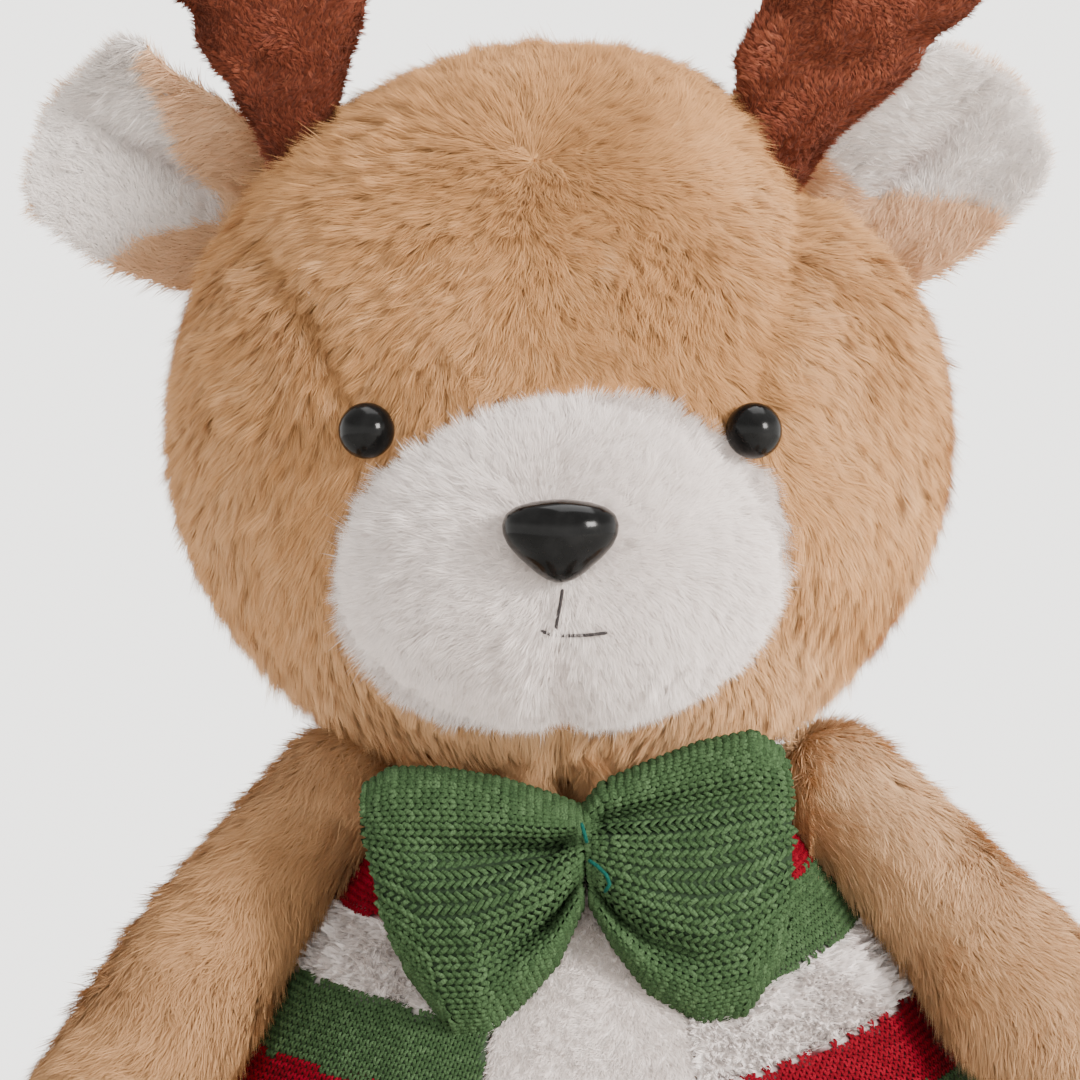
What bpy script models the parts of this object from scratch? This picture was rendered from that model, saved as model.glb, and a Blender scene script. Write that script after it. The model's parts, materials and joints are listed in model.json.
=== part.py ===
"""A seated plush deer in a striped knitted waistcoat and a bow tie.

Metres, +Z up, the seat on z = 0, the face towards -Y, the deer's own left at +X.
Each sewn limb starts in a ball that sits in a round seat, and a thin seam band lies
between ball and seat, so every limb swings about the middle of its own seam.
"""

import math

import bmesh
import bpy
from mathutils import Matrix, Vector

# Common clearances and cloth
GAP = 0.0003  # between pieces that lie against each other
SEAM_GAP = 0.0006  # each side of a seam band
SEAM_BAND = 0.0012  # thickness of a seam band
FABRIC = 0.006  # plush with its pile, as thick as it lies
OVERRUN = 0.004  # how far a cutter runs past what it cuts
SIDES = (("left", 1), ("right", -1))

# Torso, a pear that is turned and then made shallower from front to back
TORSO_HALF_WIDTH = 0.079
TORSO_HEIGHT = 0.165
TORSO_DEPTH_SHARE = 0.82
SHOULDER_DROP = 0.020
SHOULDER_HEIGHT = TORSO_HEIGHT - SHOULDER_DROP  # below it the torso is shallow, above it grows round
TORSO_SHARES = (  # height, radius, from the shoulder down
    (0.964, 0.519), (0.921, 0.588), (0.879, 0.646), (0.770, 0.785), (0.661, 0.899),
    (0.545, 0.968), (0.424, 1.0), (0.303, 0.987), (0.182, 0.924), (0.085, 0.810), (0.024, 0.671),
)
SEAT_RADIUS = 0.046
NECK_SINK = 0.015
NECK_HEIGHT = TORSO_HEIGHT - NECK_SINK  # centre of the ball joint that the neck makes
NECK_RADIUS = 0.034
NECK_OPENING = 0.012
NECK_REACH = math.radians(66.0)  # how far down from its top the neck ball is round
NECK_SEAM = (math.radians(36.0), math.radians(54.0))
PELLET_TOP = 0.026  # the bag of pellets fills the bottom of the torso up to here

# Belly panel and waistcoat, laid on the torso
CLOTH = 0.0028
BELLY_HALF_ANGLE = math.radians(16.3)
BELLY_BOTTOM = 0.030
VEST_HEM = 0.058
VEST_TOP_DROP = 0.0045
VEST_TOP = TORSO_HEIGHT - VEST_TOP_DROP
VEST_SIDE_ANGLE = math.radians(83.0)
VEST_SLIT = math.radians(0.35)  # half the slit between two vest panels

# Head, an egg on its broad end
HEAD_ASIDE = -0.006
HEAD_FORWARD = 0.004
HEAD_OVER_NECK = 0.089
HEAD_CENTRE = Vector((HEAD_ASIDE, -HEAD_FORWARD, NECK_HEIGHT + HEAD_OVER_NECK))
HEAD_HALF_WIDTH = 0.0808
HEAD_HALF_DEPTH = 0.073
HEAD_RISE = 0.079
HEAD_DROP = 0.0718

# Muzzle, a mound on the head's front
MUZZLE_SINK = 0.022  # from the head's front back to the mound's middle
MUZZLE_FORWARD = HEAD_HALF_DEPTH - MUZZLE_SINK
MUZZLE_DROP = 0.026
MUZZLE_HALF_WIDTH = 0.0455
MUZZLE_HALF_DEPTH = 0.042
MUZZLE_HALF_HEIGHT = 0.035

# Safety eyes and nose, each with a shank and a lock washer
EYE_RADIUS = 0.0056
EYE_INSET = 0.0428
EYE_SPREAD = HEAD_HALF_WIDTH - EYE_INSET
EYE_LIFT = -0.0004
EYE_PROUD = 0.0006
SHANK_RADIUS = 0.0016
EYE_SHANK = 0.016
WASHER_RADIUS = 0.006
WASHER_THICK = 0.0016
WASHER_SLACK = 0.0018  # from the cloth to the washer
NOSE_HALF_WIDTH = 0.0114
NOSE_HALF_HEIGHT = 0.0081
NOSE_WIDTH_SHARES = ((-1.0, 0.34), (-0.5, 0.60), (0.0, 0.86), (0.5, 1.19), (1.0, 1.34))  # height, width
NOSE_HALF_DEPTH = 0.0068
NOSE_LIFT = 0.0038  # above the muzzle's middle
NOSE_PROUD = 0.0016
NOSE_SHANK = 0.018
MOUTH_THREAD = 0.0005
MOUTH_DROP = 0.0084
MOUTH_HALF_WIDTH = 0.0105
MOUTH_NOSE_GAP = 0.0012
MOUTH_STITCHES = 4  # straight runs from the middle to each end

# Ears
EAR_LENGTH = {"left": 0.044, "right": 0.046}
EAR_HALF_WIDTH = 0.0215
EAR_CUP = 0.008
EAR_LIFT = 0.042
EAR_BACK = 0.014
EAR_ROLL = 0.004  # half thickness, and the radius of the rounded root
EAR_SHARES = (  # along (in rolls below the seam, in lengths above it), half width, thickness, cup
    (-1.0, 0.36, 0.12, 0.0), (-0.8, 0.50, 0.60, 0.0), (-0.4, 0.56, 0.92, 0.0), (0.0, 0.58, 1.0, 0.0),
    (0.10, 0.66, 0.95, 0.10), (0.25, 0.84, 0.90, 0.35), (0.45, 0.99, 0.85, 0.70),
    (0.65, 1.0, 0.85, 0.95), (0.82, 0.82, 0.80, 1.0), (0.93, 0.55, 0.65, 1.0), (1.0, 0.18, 0.25, 1.0),
)
EAR_LINING_SHARES = (
    (0.13, 0.20, 0.15, 0.10), (0.17, 0.46, 0.55, 0.20), (0.28, 0.68, 0.75, 0.38), (0.46, 0.82, 0.80, 0.68),
    (0.65, 0.83, 0.80, 0.88), (0.80, 0.68, 0.70, 0.90), (0.89, 0.42, 0.50, 0.88), (0.93, 0.15, 0.18, 0.86),
)
EAR_LINING_PROUD = 0.0022
EAR_TILT = {"left": math.radians(48.0), "right": math.radians(57.0)}
EAR_TURN = {"left": math.radians(12.0), "right": math.radians(14.0)}

# Antlers
ANTLER_BALL = 0.0075
ANTLER_SPREAD = 0.051
ANTLER_FORWARD = 0.008
ANTLER_SINK = 0.0062  # of the root's centre under the crown
ANTLER_LEAN = {"left": math.radians(22.0), "right": math.radians(8.0)}
ANTLER_SIZE = 0.036  # height of the palm above the ball
ANTLER_THICK = 0.0068
ANTLER_ROOT_SHARES = ((-0.9, 0.4), (-0.5, 0.86))  # height and radius, in ANTLER_BALL
ANTLER_THROAT_SHARES = (0.95, 2.1, 1.6)  # low radius, high radius and height, in ANTLER_BALL
ANTLER_PALM_SHARES = {  # height and half width in ANTLER_SIZE, thickness in ANTLER_THICK
    "left": (
        (0.0, 0.20, 1.0), (0.20, 0.22, 1.0), (0.34, 0.30, 1.0), (0.52, 0.42, 1.0), (0.72, 0.50, 1.0),
        (1.0, 0.55, 1.0), (1.22, 0.44, 0.62), (1.36, 0.24, 0.62),
    ),
    "right": (
        (0.0, 0.20, 1.0), (0.20, 0.22, 1.0), (0.45, 0.33, 1.0), (0.72, 0.47, 1.0), (1.0, 0.52, 1.0),
        (1.22, 0.44, 0.62), (1.36, 0.24, 0.62),
    ),
}
OUTER_PRONG_SHARES = (  # place across, height, half width, thickness
    (0.16, 0.80, 0.26, 1.0), (0.42, 1.25, 0.26, 1.0), (0.60, 1.68, 0.22, 1.0), (0.70, 1.98, 0.13, 0.63),
    (0.70, 2.05, 0.06, 0.30),
)
INNER_PRONG_SHARES = (
    (-0.14, 0.90, 0.27, 1.0), (-0.24, 1.35, 0.26, 1.0), (-0.24, 1.85, 0.22, 1.0), (-0.20, 2.20, 0.13, 0.63),
    (-0.20, 2.27, 0.06, 0.30),
)

# Arms, as a curved limb from the shoulder ball to the paw
ARM_BALL = 0.0145
ARM_INSET = 0.0245
ARM_SPREAD = TORSO_HALF_WIDTH - ARM_INSET
ARM_FORWARD = 0.009
ARM_DROP = 0.003
ARM_HEIGHT = TORSO_HEIGHT - ARM_DROP
ARM_LENGTH = 0.130
ARM_OUTWARD = {"left": math.radians(37.0), "right": math.radians(31.0)}
ARM_BOW = 0.006  # how far the arm bows outward
ARM_FORWARD_TILT = math.radians(25.0)
ARM_SEAM = (math.radians(24.0), math.radians(50.0))  # from the ball's pole on the body's side
ARM_RADIUS_SHARES = ((0.0, 1.0), (0.12, 1.0), (0.42, 1.15), (0.75, 1.19), (1.0, 1.12))

# Legs, straight out in front of the seated toy
LEG_BALL = 0.0265
LEG_INSET = 0.028
LEG_SPREAD = TORSO_HALF_WIDTH - LEG_INSET
LEG_SINK = 0.0148
LEG_FORWARD = TORSO_HALF_WIDTH * TORSO_DEPTH_SHARE - LEG_SINK
LEG_FLOOR_GAP = 0.003
LEG_HEIGHT = LEG_BALL + LEG_FLOOR_GAP
LEG_LENGTH = 0.112
LEG_SPLAY = math.radians(17.0)
LEG_RADIUS_SHARES = ((0.0, 1.0), (0.28, 0.87), (0.6, 0.93), (0.85, 1.06), (1.0, 1.02))
LEG_BLUNT_SHARE = 0.86
LEG_SEAM = (math.radians(38.0), math.radians(64.0))
SOLE_THICK = 0.003
SOLE_EDGE = 0.003
SOLE_ROUND = 0.0018

# Bow tie and its thread
BOW_CENTRE_X = -0.0014
BOW_OVER_NECK = 0.008
BOW_HEIGHT = NECK_HEIGHT + BOW_OVER_NECK
BOW_HALF_WIDTH = 0.0435
BOW_HALF_HEIGHT = 0.0265
BOW_HALF_THICK = 0.0062
BOW_DROOP = 0.0105  # how far the ends hang below the knot
BOW_DROOP_POWER = 1.2
BOW_TILT = math.radians(4.0)
BOW_SHARES = (  # place along the half width, half height, half thickness
    (0.0, 0.30, 0.80), (0.06, 0.30, 0.80), (0.18, 0.42, 0.95), (0.40, 0.70, 1.05), (0.66, 0.92, 0.95),
    (0.88, 1.0, 0.70), (1.0, 0.94, 0.42),
)
BOW_STANDOFF = 0.0006
THREAD_RADIUS = 0.0006
BOW_THREAD_SLANT = 0.0018
BOW_THREAD_FROM = math.radians(-170.0)  # round the knot's front, from its foot to its top
BOW_THREAD_TO = math.radians(-10.0)
BOW_THREAD_RUNS = 12

# Tail
TAIL_HEIGHT = 0.0375
TAIL_HALF_WIDTH = 0.011
TAIL_HALF_LENGTH = 0.013
TAIL_HALF_THICK = 0.0085
TAIL_OUT = 0.0047  # how far its middle lies outside the torso
TAIL_GAP = 0.0009

# How finely round pieces are faceted
BODY_STEPS = 28
HEAD_STEPS = 24
LINING_STEPS = 18
MUZZLE_STEPS = 20
MUZZLE_LINING_STEPS = 16
NECK_RINGS = 6
SEAT_STEPS = 28
SEAM_STEPS = 20
LEG_STEPS = 14
LIMB_STEPS = 12
SMALL_STEPS = 8
THREAD_STEPS = 6
LIMB_RINGS = 9  # along a limb
LIMB_CAP = 4  # rings over each of its round ends
LIMB_TIP_SHARE = 0.06  # what is left of a round end at its tip
MOUTH_SHARE = 0.4  # the opening that a limb is stuffed through, in its ball's radius

NECK = Vector((0.0, 0.0, NECK_HEIGHT))
UP = Vector((0.0, 0.0, 1.0))
RIGHT = Vector((1.0, 0.0, 0.0))
BACK = Vector((0.0, 1.0, 0.0))

TAN = (0.50, 0.29, 0.15)
WHITE = (0.78, 0.72, 0.68)
ANTLER_BROWN = (0.20, 0.055, 0.03)
KNIT_GREEN = (0.07, 0.12, 0.055)
KNIT_RED = (0.32, 0.008, 0.012)
FILLING_WHITE = (0.85, 0.85, 0.83)
PLASTIC_BLACK = (0.012, 0.010, 0.010)
THREAD_GREY = (0.05, 0.045, 0.05)
THREAD_TEAL = (0.01, 0.16, 0.14)
PLUSH, SATIN, GLOSSY = 0.9, 0.4, 0.14  # roughness


def clear_scene():
    for old in list(bpy.data.objects):
        bpy.data.objects.remove(old)


def collection(name):
    group = bpy.data.collections.new(name)
    bpy.context.scene.collection.children.link(group)
    return group


def material(name, colour, roughness):
    made = bpy.data.materials.new(name)
    made.use_nodes = True
    shader = made.node_tree.nodes["Principled BSDF"]
    shader.inputs["Base Color"].default_value = (*colour, 1.0)
    shader.inputs["Roughness"].default_value = roughness
    return made


def close(bm, name):
    """A mesh from the bmesh, with doubles merged and its faces pointing out."""
    bmesh.ops.remove_doubles(bm, verts=bm.verts, dist=GAP / 30)
    bmesh.ops.recalc_face_normals(bm, faces=bm.faces)
    if bm.calc_volume(signed=True) < 0:
        bmesh.ops.reverse_faces(bm, faces=bm.faces)
    mesh = bpy.data.meshes.new(name)
    bm.to_mesh(mesh)
    bm.free()
    return mesh


def node(name, mesh, colour, roughness=PLUSH):
    """A piece of the toy, in the toy's collection, with a material of its own."""
    made = bpy.data.objects.new(name, mesh)
    DEER.objects.link(made)
    mesh.materials.append(material(name, colour, roughness))
    mesh.shade_smooth()
    return made


def cutter(mesh):
    made = bpy.data.objects.new(mesh.name + "_cutter", mesh)
    CUTTERS.objects.link(made)
    made.hide_render = True
    made.display_type = "WIRE"
    return made


def cut(piece, *tools, operation="DIFFERENCE"):
    for tool in tools:
        boolean = piece.modifiers.new("cut", "BOOLEAN")
        boolean.operation = operation
        boolean.solver = "EXACT"
        boolean.object = tool


def egg(name, centre, radii, steps, grow=0.0, drop=None):
    """A ball stretched to its radii, with its own radius below the middle."""
    bm = bmesh.new()
    bmesh.ops.create_uvsphere(bm, u_segments=steps, v_segments=steps * 9 // 16, radius=1.0)
    low = (radii[2] if drop is None else drop) + grow
    for vert in bm.verts:
        tall = radii[2] + grow if vert.co.z > 0 else low
        vert.co = Vector((
            vert.co.x * (radii[0] + grow),
            vert.co.y * (radii[1] + grow),
            vert.co.z * tall,
        )) + centre
    return close(bm, name)


def loft(name, rings):
    """A closed skin through rings of equal count."""
    bm = bmesh.new()
    loops = [[bm.verts.new(point) for point in ring] for ring in rings]
    for low, high in zip(loops, loops[1:]):
        for here in range(len(low)):
            after = (here + 1) % len(low)
            bm.faces.new((low[here], low[after], high[after], high[here]))
    bm.faces.new(list(reversed(loops[0])))
    bm.faces.new(loops[-1])
    bmesh.ops.triangulate(bm, faces=bm.faces, quad_method="FIXED")
    return close(bm, name)


def ring(centre, wide, deep, steps):
    """Points of an ellipse about a centre, from its two half axes."""
    turns = (math.tau * step / steps for step in range(steps))
    return [centre + wide * math.cos(turn) + deep * math.sin(turn) for turn in turns]


def frame_of(direction, hint=UP):
    """Two unit vectors square to a direction."""
    wide = direction.cross(hint).normalized()
    return wide, wide.cross(direction).normalized()


def between(shares, at):
    """The value at a place in a table of (place, value) shares, eased between its rows."""
    for (start, first), (stop, last) in zip(shares, shares[1:]):
        if at <= stop:
            part = max(0.0, (at - start) / (stop - start))
            return first + (last - first) * (3 - 2 * part) * part * part
    return shares[-1][1]


def limb(name, path, radius, shares, steps, shrink=0.0, blunt=0.0):
    """A round limb along a bowed path, with a ball at its start and a round far end.

    Shrink draws its surface inward. A blunt limb keeps a flat far end of that share of its radius.
    """
    start, control, end = path
    length = (end - start).length
    round_end = 1 - blunt
    places = [-radius * math.cos(math.pi / 2 * turn / LIMB_CAP) for turn in range(LIMB_CAP)]
    places += [length * turn / LIMB_RINGS for turn in range(LIMB_RINGS)]
    places += [
        length + radius * round_end * math.sin(math.pi / 2 * turn / LIMB_CAP) for turn in range(LIMB_CAP + 1)
    ]
    rings = []
    for place in places:
        share = min(max(place / length, 0.0), 1.0)
        heading = ((control - start) * (1 - share) + (end - control) * share).normalized()
        over = place - length * share
        run = abs(over) / (radius if over < 0 else radius * round_end)
        flat = blunt if over > 0 else 0.0
        full = radius * between(shares, share)
        size = full * math.sqrt(max(1 - min(run, 1.0) ** 2 * (1 - flat**2), LIMB_TIP_SHARE**2))
        kept = 1 - shrink / full
        centre = start.lerp(control, share).lerp(control.lerp(end, share), share)
        centre += heading * over * (1 - shrink / radius)
        wide, deep = frame_of(heading, BACK)
        rings.append(ring(centre, wide * size * kept, deep * size * kept, steps))
    return loft(name, rings)


def offset_outline(points, distance):
    """An outline in (radius, height) moved square to itself, outward where positive."""
    moved = []
    for here, (radius, height) in enumerate(points):
        before = points[max(here - 1, 0)]
        after = points[min(here + 1, len(points) - 1)]
        run = Vector((after[0] - before[0], after[1] - before[1])).normalized()
        moved.append((max(radius - run.y * distance, 0.0), height + run.x * distance))
    return moved


def torso_outline():
    """The torso's outline from the top of the neck ball down to the seat, on +X."""
    turns = [NECK_REACH * turn / NECK_RINGS for turn in range(NECK_RINGS + 1)]
    points = [(NECK_RADIUS * math.sin(turn), NECK_HEIGHT + NECK_RADIUS * math.cos(turn)) for turn in turns]
    points += [(TORSO_HALF_WIDTH * wide, TORSO_HEIGHT * tall) for tall, wide in TORSO_SHARES]
    points += [(SEAT_RADIUS, 0.0), (0.0, 0.0)]
    return points


def depth_share(height):
    """How deep the torso is against its width: round at the neck, shallower below."""
    reach = NECK_HEIGHT + NECK_RADIUS * math.cos(NECK_REACH) - SHOULDER_HEIGHT
    part = min(max((height - SHOULDER_HEIGHT) / reach, 0.0), 1.0)
    return TORSO_DEPTH_SHARE + (1 - TORSO_DEPTH_SHARE) * part * part * (3 - 2 * part)


def turned(name, outline, steps, start=0.0, angle=math.tau, shallow=False):
    """An outline spun about Z. A part turn takes a loop, whose two halves pair up across its ends."""
    whole = angle >= math.tau
    bm = bmesh.new()
    verts = [bm.verts.new((radius, 0.0, height)) for radius, height in outline]
    edges = [bm.edges.new(pair) for pair in zip(verts, verts[1:])]
    if not whole:
        edges.append(bm.edges.new((verts[-1], verts[0])))
        for here in range(1, len(verts) // 2 - 1):
            edges.append(bm.edges.new((verts[here], verts[-1 - here])))
        strip = bmesh.ops.edgenet_fill(bm, edges=edges)["faces"]
        bmesh.ops.rotate(bm, verts=verts, cent=(0, 0, 0), matrix=Matrix.Rotation(start, 3, "Z"))
        far = [face.copy() for face in strip]
        bmesh.ops.rotate(
            bm, verts=list({vert for face in far for vert in face.verts}), cent=(0, 0, 0),
            matrix=Matrix.Rotation(angle, 3, "Z"),
        )
        edges = [edge for face in strip for edge in face.edges if edge.is_boundary]
    bmesh.ops.spin(
        bm, geom=edges, cent=(0, 0, 0), axis=(0, 0, 1), angle=angle, steps=steps,
        use_merge=whole, use_duplicate=False,
    )
    bmesh.ops.remove_doubles(bm, verts=bm.verts, dist=GAP / 30)
    if shallow:
        for vert in bm.verts:
            vert.co.y *= depth_share(vert.co.z)
    return close(bm, name)


def radius_at(outline, height):
    """The outline's radius at a height."""
    for (high_radius, high), (low_radius, low) in zip(outline, outline[1:]):
        if low <= height <= high and high > low:
            return low_radius + (high_radius - low_radius) * (height - low) / (high - low)
    return 0.0


def sheet_loop(low, high, lie, thick):
    """A loop in (radius, height): down the outer face of a cloth on the torso, up its inner face."""
    outline = torso_outline()
    heights = [high] + [height for _, height in outline if low < height < high] + [low]
    outer = [(radius_at(offset_outline(outline, lie + thick), height), height) for height in heights]
    inner = [(radius_at(offset_outline(outline, lie), height), height) for height in reversed(heights)]
    return outer + inner


def placed(mesh, centre, axis):
    """The mesh with its own Z laid along an axis and its origin at a centre."""
    mesh.transform(Matrix.Translation(centre) @ UP.rotation_difference(axis).to_matrix().to_4x4())
    return mesh


def rod(name, start, end, radius, steps=SMALL_STEPS):
    bm = bmesh.new()
    run = end - start
    bmesh.ops.create_cone(
        bm, cap_ends=True, segments=steps, radius1=radius, radius2=radius, depth=run.length,
    )
    return placed(close(bm, name), (start + end) / 2, run.normalized())


def ball(name, centre, radius, steps):
    return egg(name, centre, (radius, radius, radius), steps)


def seam_band(name, centre, axis, radius, near, far, steps):
    """A strip of cloth on a ball, between two angles from its axis."""
    inner, outer = radius + SEAM_GAP, radius + SEAM_GAP + SEAM_BAND
    count = 3
    turns = [near + (far - near) * turn / count for turn in range(count + 1)]
    outline = [(outer * math.sin(turn), outer * math.cos(turn)) for turn in turns]
    outline += [(inner * math.sin(turn), inner * math.cos(turn)) for turn in reversed(turns)]
    bm = bmesh.new()
    verts = [bm.verts.new((wide, 0.0, tall)) for wide, tall in outline]
    edges = [bm.edges.new(pair) for pair in zip(verts, verts[1:] + verts[:1])]
    bmesh.ops.spin(
        bm, geom=verts + edges, cent=(0, 0, 0), axis=(0, 0, 1), angle=math.tau, steps=steps,
        use_merge=True, use_duplicate=False,
    )
    return placed(close(bm, name), centre, axis)


def seat_radius(ball_radius):
    return ball_radius + SEAM_BAND + 2 * SEAM_GAP


def washer(name, centre, axis):
    """A lock washer on a shank."""
    bore = SHANK_RADIUS + GAP
    half = WASHER_THICK / 2
    outline = ((bore, half), (WASHER_RADIUS, half), (WASHER_RADIUS, -half), (bore, -half))
    bm = bmesh.new()
    verts = [bm.verts.new((wide, 0.0, tall)) for wide, tall in outline]
    edges = [bm.edges.new(pair) for pair in zip(verts, verts[1:] + verts[:1])]
    bmesh.ops.spin(
        bm, geom=verts + edges, cent=(0, 0, 0), axis=(0, 0, 1), angle=math.tau, steps=LIMB_STEPS,
        use_merge=True, use_duplicate=False,
    )
    return placed(close(bm, name), centre, axis)


def washer_pocket(name, place, seat, out):
    """The room that a washer and the cloth's slack take in the stuffing."""
    floor = seat - out * (WASHER_THICK / 2 + GAP)
    return cutter(rod(f"{name}_pocket", place, floor, WASHER_RADIUS + 2 * GAP, LIMB_STEPS))


def head_point(spread, lift, proud=0.0):
    """A point on the front or side of the head, and the direction out of it."""
    tall = HEAD_RISE if lift > 0 else HEAD_DROP
    rest = 1 - (spread / HEAD_HALF_WIDTH) ** 2 - (lift / tall) ** 2
    forward = HEAD_HALF_DEPTH * math.sqrt(max(rest, 0.0))
    out = Vector((
        spread / HEAD_HALF_WIDTH**2,
        -forward / HEAD_HALF_DEPTH**2,
        lift / tall**2,
    )).normalized()
    return HEAD_CENTRE + Vector((spread, -forward, lift)) + out * proud, out


def muzzle_centre():
    return HEAD_CENTRE + Vector((0.0, -MUZZLE_FORWARD, -MUZZLE_DROP))


def muzzle_point(spread, lift, proud):
    """A point on the front of the muzzle, from places beside and above its middle."""
    rest = 1 - (spread / MUZZLE_HALF_WIDTH) ** 2 - (lift / MUZZLE_HALF_HEIGHT) ** 2
    forward = MUZZLE_HALF_DEPTH * math.sqrt(rest)
    return muzzle_centre() + Vector((spread, -forward - proud, lift))


def nose_mesh(name, centre, grow=0.0):
    """A rounded triangle, broad and flat on top and drawn in below."""
    bm = bmesh.new()
    bmesh.ops.create_uvsphere(bm, u_segments=LIMB_STEPS, v_segments=SMALL_STEPS, radius=1.0)
    for vert in bm.verts:
        narrow = between(NOSE_WIDTH_SHARES, vert.co.z)
        vert.co = Vector((
            vert.co.x * (NOSE_HALF_WIDTH * narrow + grow),
            vert.co.y * (NOSE_HALF_DEPTH + grow),
            vert.co.z * (NOSE_HALF_HEIGHT + grow),
        )) + centre
    return close(bm, name)


def ear_place(side_name, side):
    """Where an ear is sewn on, with its own Z along the ear and its own X along the root."""
    rest = 1 - (EAR_BACK / HEAD_HALF_DEPTH) ** 2 - (EAR_LIFT / HEAD_RISE) ** 2
    root = HEAD_CENTRE + Vector((side * HEAD_HALF_WIDTH * math.sqrt(rest), EAR_BACK, EAR_LIFT))
    lean = Matrix.Rotation(side * EAR_TILT[side_name], 4, "Y")
    return Matrix.Translation(root) @ lean @ Matrix.Rotation(side * EAR_TURN[side_name], 4, "Z")


def ear_mesh(name, place, length, rows, lift=0.0, grow=0.0):
    """A cupped leaf through cross sections that bend forward at their two edges."""
    rings = []
    for along, width, thick, cup in rows:
        high = EAR_ROLL * along if along < 0 else length * along
        high += grow * (1 if along > 0.5 else -1)
        wide, deep = EAR_HALF_WIDTH * width + grow, EAR_ROLL * thick + grow
        points = ring(Vector((0.0, -lift, high)), RIGHT * wide, BACK * deep, LIMB_STEPS)
        rings.append([point - BACK * EAR_CUP * cup * (point.x / wide) ** 2 for point in points])
    mesh = loft(name, rings)
    mesh.transform(place)
    return mesh


def ear_groove(name, place):
    """The room that an ear's rounded root has in the head."""
    radius = EAR_ROLL + SEAM_GAP
    reach = EAR_HALF_WIDTH * EAR_SHARES[3][1] + SEAM_GAP
    mesh = rod(name, RIGHT * -reach, RIGHT * reach, radius, LIMB_STEPS)
    mesh.transform(place)
    return mesh


def antler_ball(side):
    """The centre of an antler's root, under the surface of the crown."""
    rest = 1 - (ANTLER_SPREAD / HEAD_HALF_WIDTH) ** 2 - (ANTLER_FORWARD / HEAD_HALF_DEPTH) ** 2
    lift = HEAD_RISE * math.sqrt(rest) - ANTLER_SINK
    return HEAD_CENTRE + Vector((side * ANTLER_SPREAD, -ANTLER_FORWARD, lift))


def antler_place(name, side):
    return Matrix.Translation(antler_ball(side)) @ Matrix.Rotation(side * ANTLER_LEAN[name], 4, "Y")


def antler_parts(name, side, place, palm_shares):
    """The palm and the two prongs of an antler, as three meshes to be joined."""
    deep = BACK * ANTLER_THICK
    palm = []
    for tall, wide in ANTLER_ROOT_SHARES:
        size = ANTLER_BALL * wide
        palm.append(ring(UP * tall * ANTLER_BALL, RIGHT * size, BACK * size, SMALL_STEPS))
    for tall, wide, thick in palm_shares:
        palm.append(ring(UP * tall * ANTLER_SIZE, RIGHT * wide * ANTLER_SIZE, deep * thick, SMALL_STEPS))
    meshes = [loft(name, palm)]
    for which, shares in (("outer", OUTER_PRONG_SHARES), ("inner", INNER_PRONG_SHARES)):
        rings = []
        for across, tall, wide, thick in shares:
            centre = (RIGHT * side * across + UP * tall) * ANTLER_SIZE
            rings.append(ring(centre, RIGHT * wide * ANTLER_SIZE, deep * thick, SMALL_STEPS))
        meshes.append(loft(f"{name}_{which}", rings))
    for mesh in meshes:
        mesh.transform(place)
    return meshes


def shoulder(side):
    return Vector((side * ARM_SPREAD, -ARM_FORWARD, ARM_HEIGHT))


def arm_path(name, side):
    """The shoulder, the bow's control point and the paw end of an arm."""
    outward = ARM_OUTWARD[name]
    heading = Vector((side * math.sin(outward), -math.sin(ARM_FORWARD_TILT), -math.cos(outward)))
    start = shoulder(side)
    end = start + heading.normalized() * ARM_LENGTH
    out = Vector((side * math.cos(outward), 0.0, math.sin(outward)))
    return start, (start + end) / 2 + out * ARM_BOW * 2, end


def hip(side):
    return Vector((side * LEG_SPREAD, -LEG_FORWARD, LEG_HEIGHT))


def leg_heading(side):
    return Vector((side * math.sin(LEG_SPLAY), -math.cos(LEG_SPLAY), 0.0))


def leg_path(side, short=0.0):
    """The hip, the middle and the foot of a leg that ends short by some length."""
    start = hip(side)
    end = start + leg_heading(side) * (LEG_LENGTH - short)
    return start, (start + end) / 2, end


def torso_front(height, across, proud=0.0):
    """A point on the torso's front at a height and a place beside the middle."""
    radius = radius_at(torso_outline(), height)
    forward = radius * depth_share(height) * math.sqrt(1 - (across / radius) ** 2)
    return Vector((across, -forward - proud, height))


def make_torso(seats):
    """The torso's skin round one cavity, which the pellets fill below and the stuffing above."""
    outline = torso_outline()
    skin = node("torso_skin", turned("torso_skin", outline, BODY_STEPS, shallow=True), TAN)
    cavity = [(r, z) for r, z in offset_outline(outline[:-2], -FABRIC) if z > 2 * FABRIC]
    cavity[0] = (0.0, cavity[0][1])
    floor = [(SEAT_RADIUS, FABRIC), (0.0, FABRIC)]
    inside = cutter(turned("torso_cavity", cavity + floor, BODY_STEPS, shallow=True))
    opening = cutter(rod("torso_opening", NECK, NECK + UP * (NECK_RADIUS + OVERRUN), NECK_OPENING))
    cut(skin, inside, opening, *seats)

    filling = offset_outline(cavity + floor[:1], -2 * GAP)
    top, low = filling[0][1], FABRIC + 2 * GAP
    filling = [(0.0, top)] + filling[1:] + [(0.0, low)]
    above = clipped(filling, PELLET_TOP + GAP, top)
    above = [(0.0, top)] + above + [(0.0, PELLET_TOP + GAP)]
    below = clipped(filling, low, PELLET_TOP)
    below = [(0.0, PELLET_TOP)] + below + [(SEAT_RADIUS - 2 * GAP, low), (0.0, low)]
    for name, shape in (("torso_stuffing", above), ("pellet_bag", below)):
        cut(node(name, turned(name, shape, BODY_STEPS, shallow=True), FILLING_WHITE), *seats)


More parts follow.
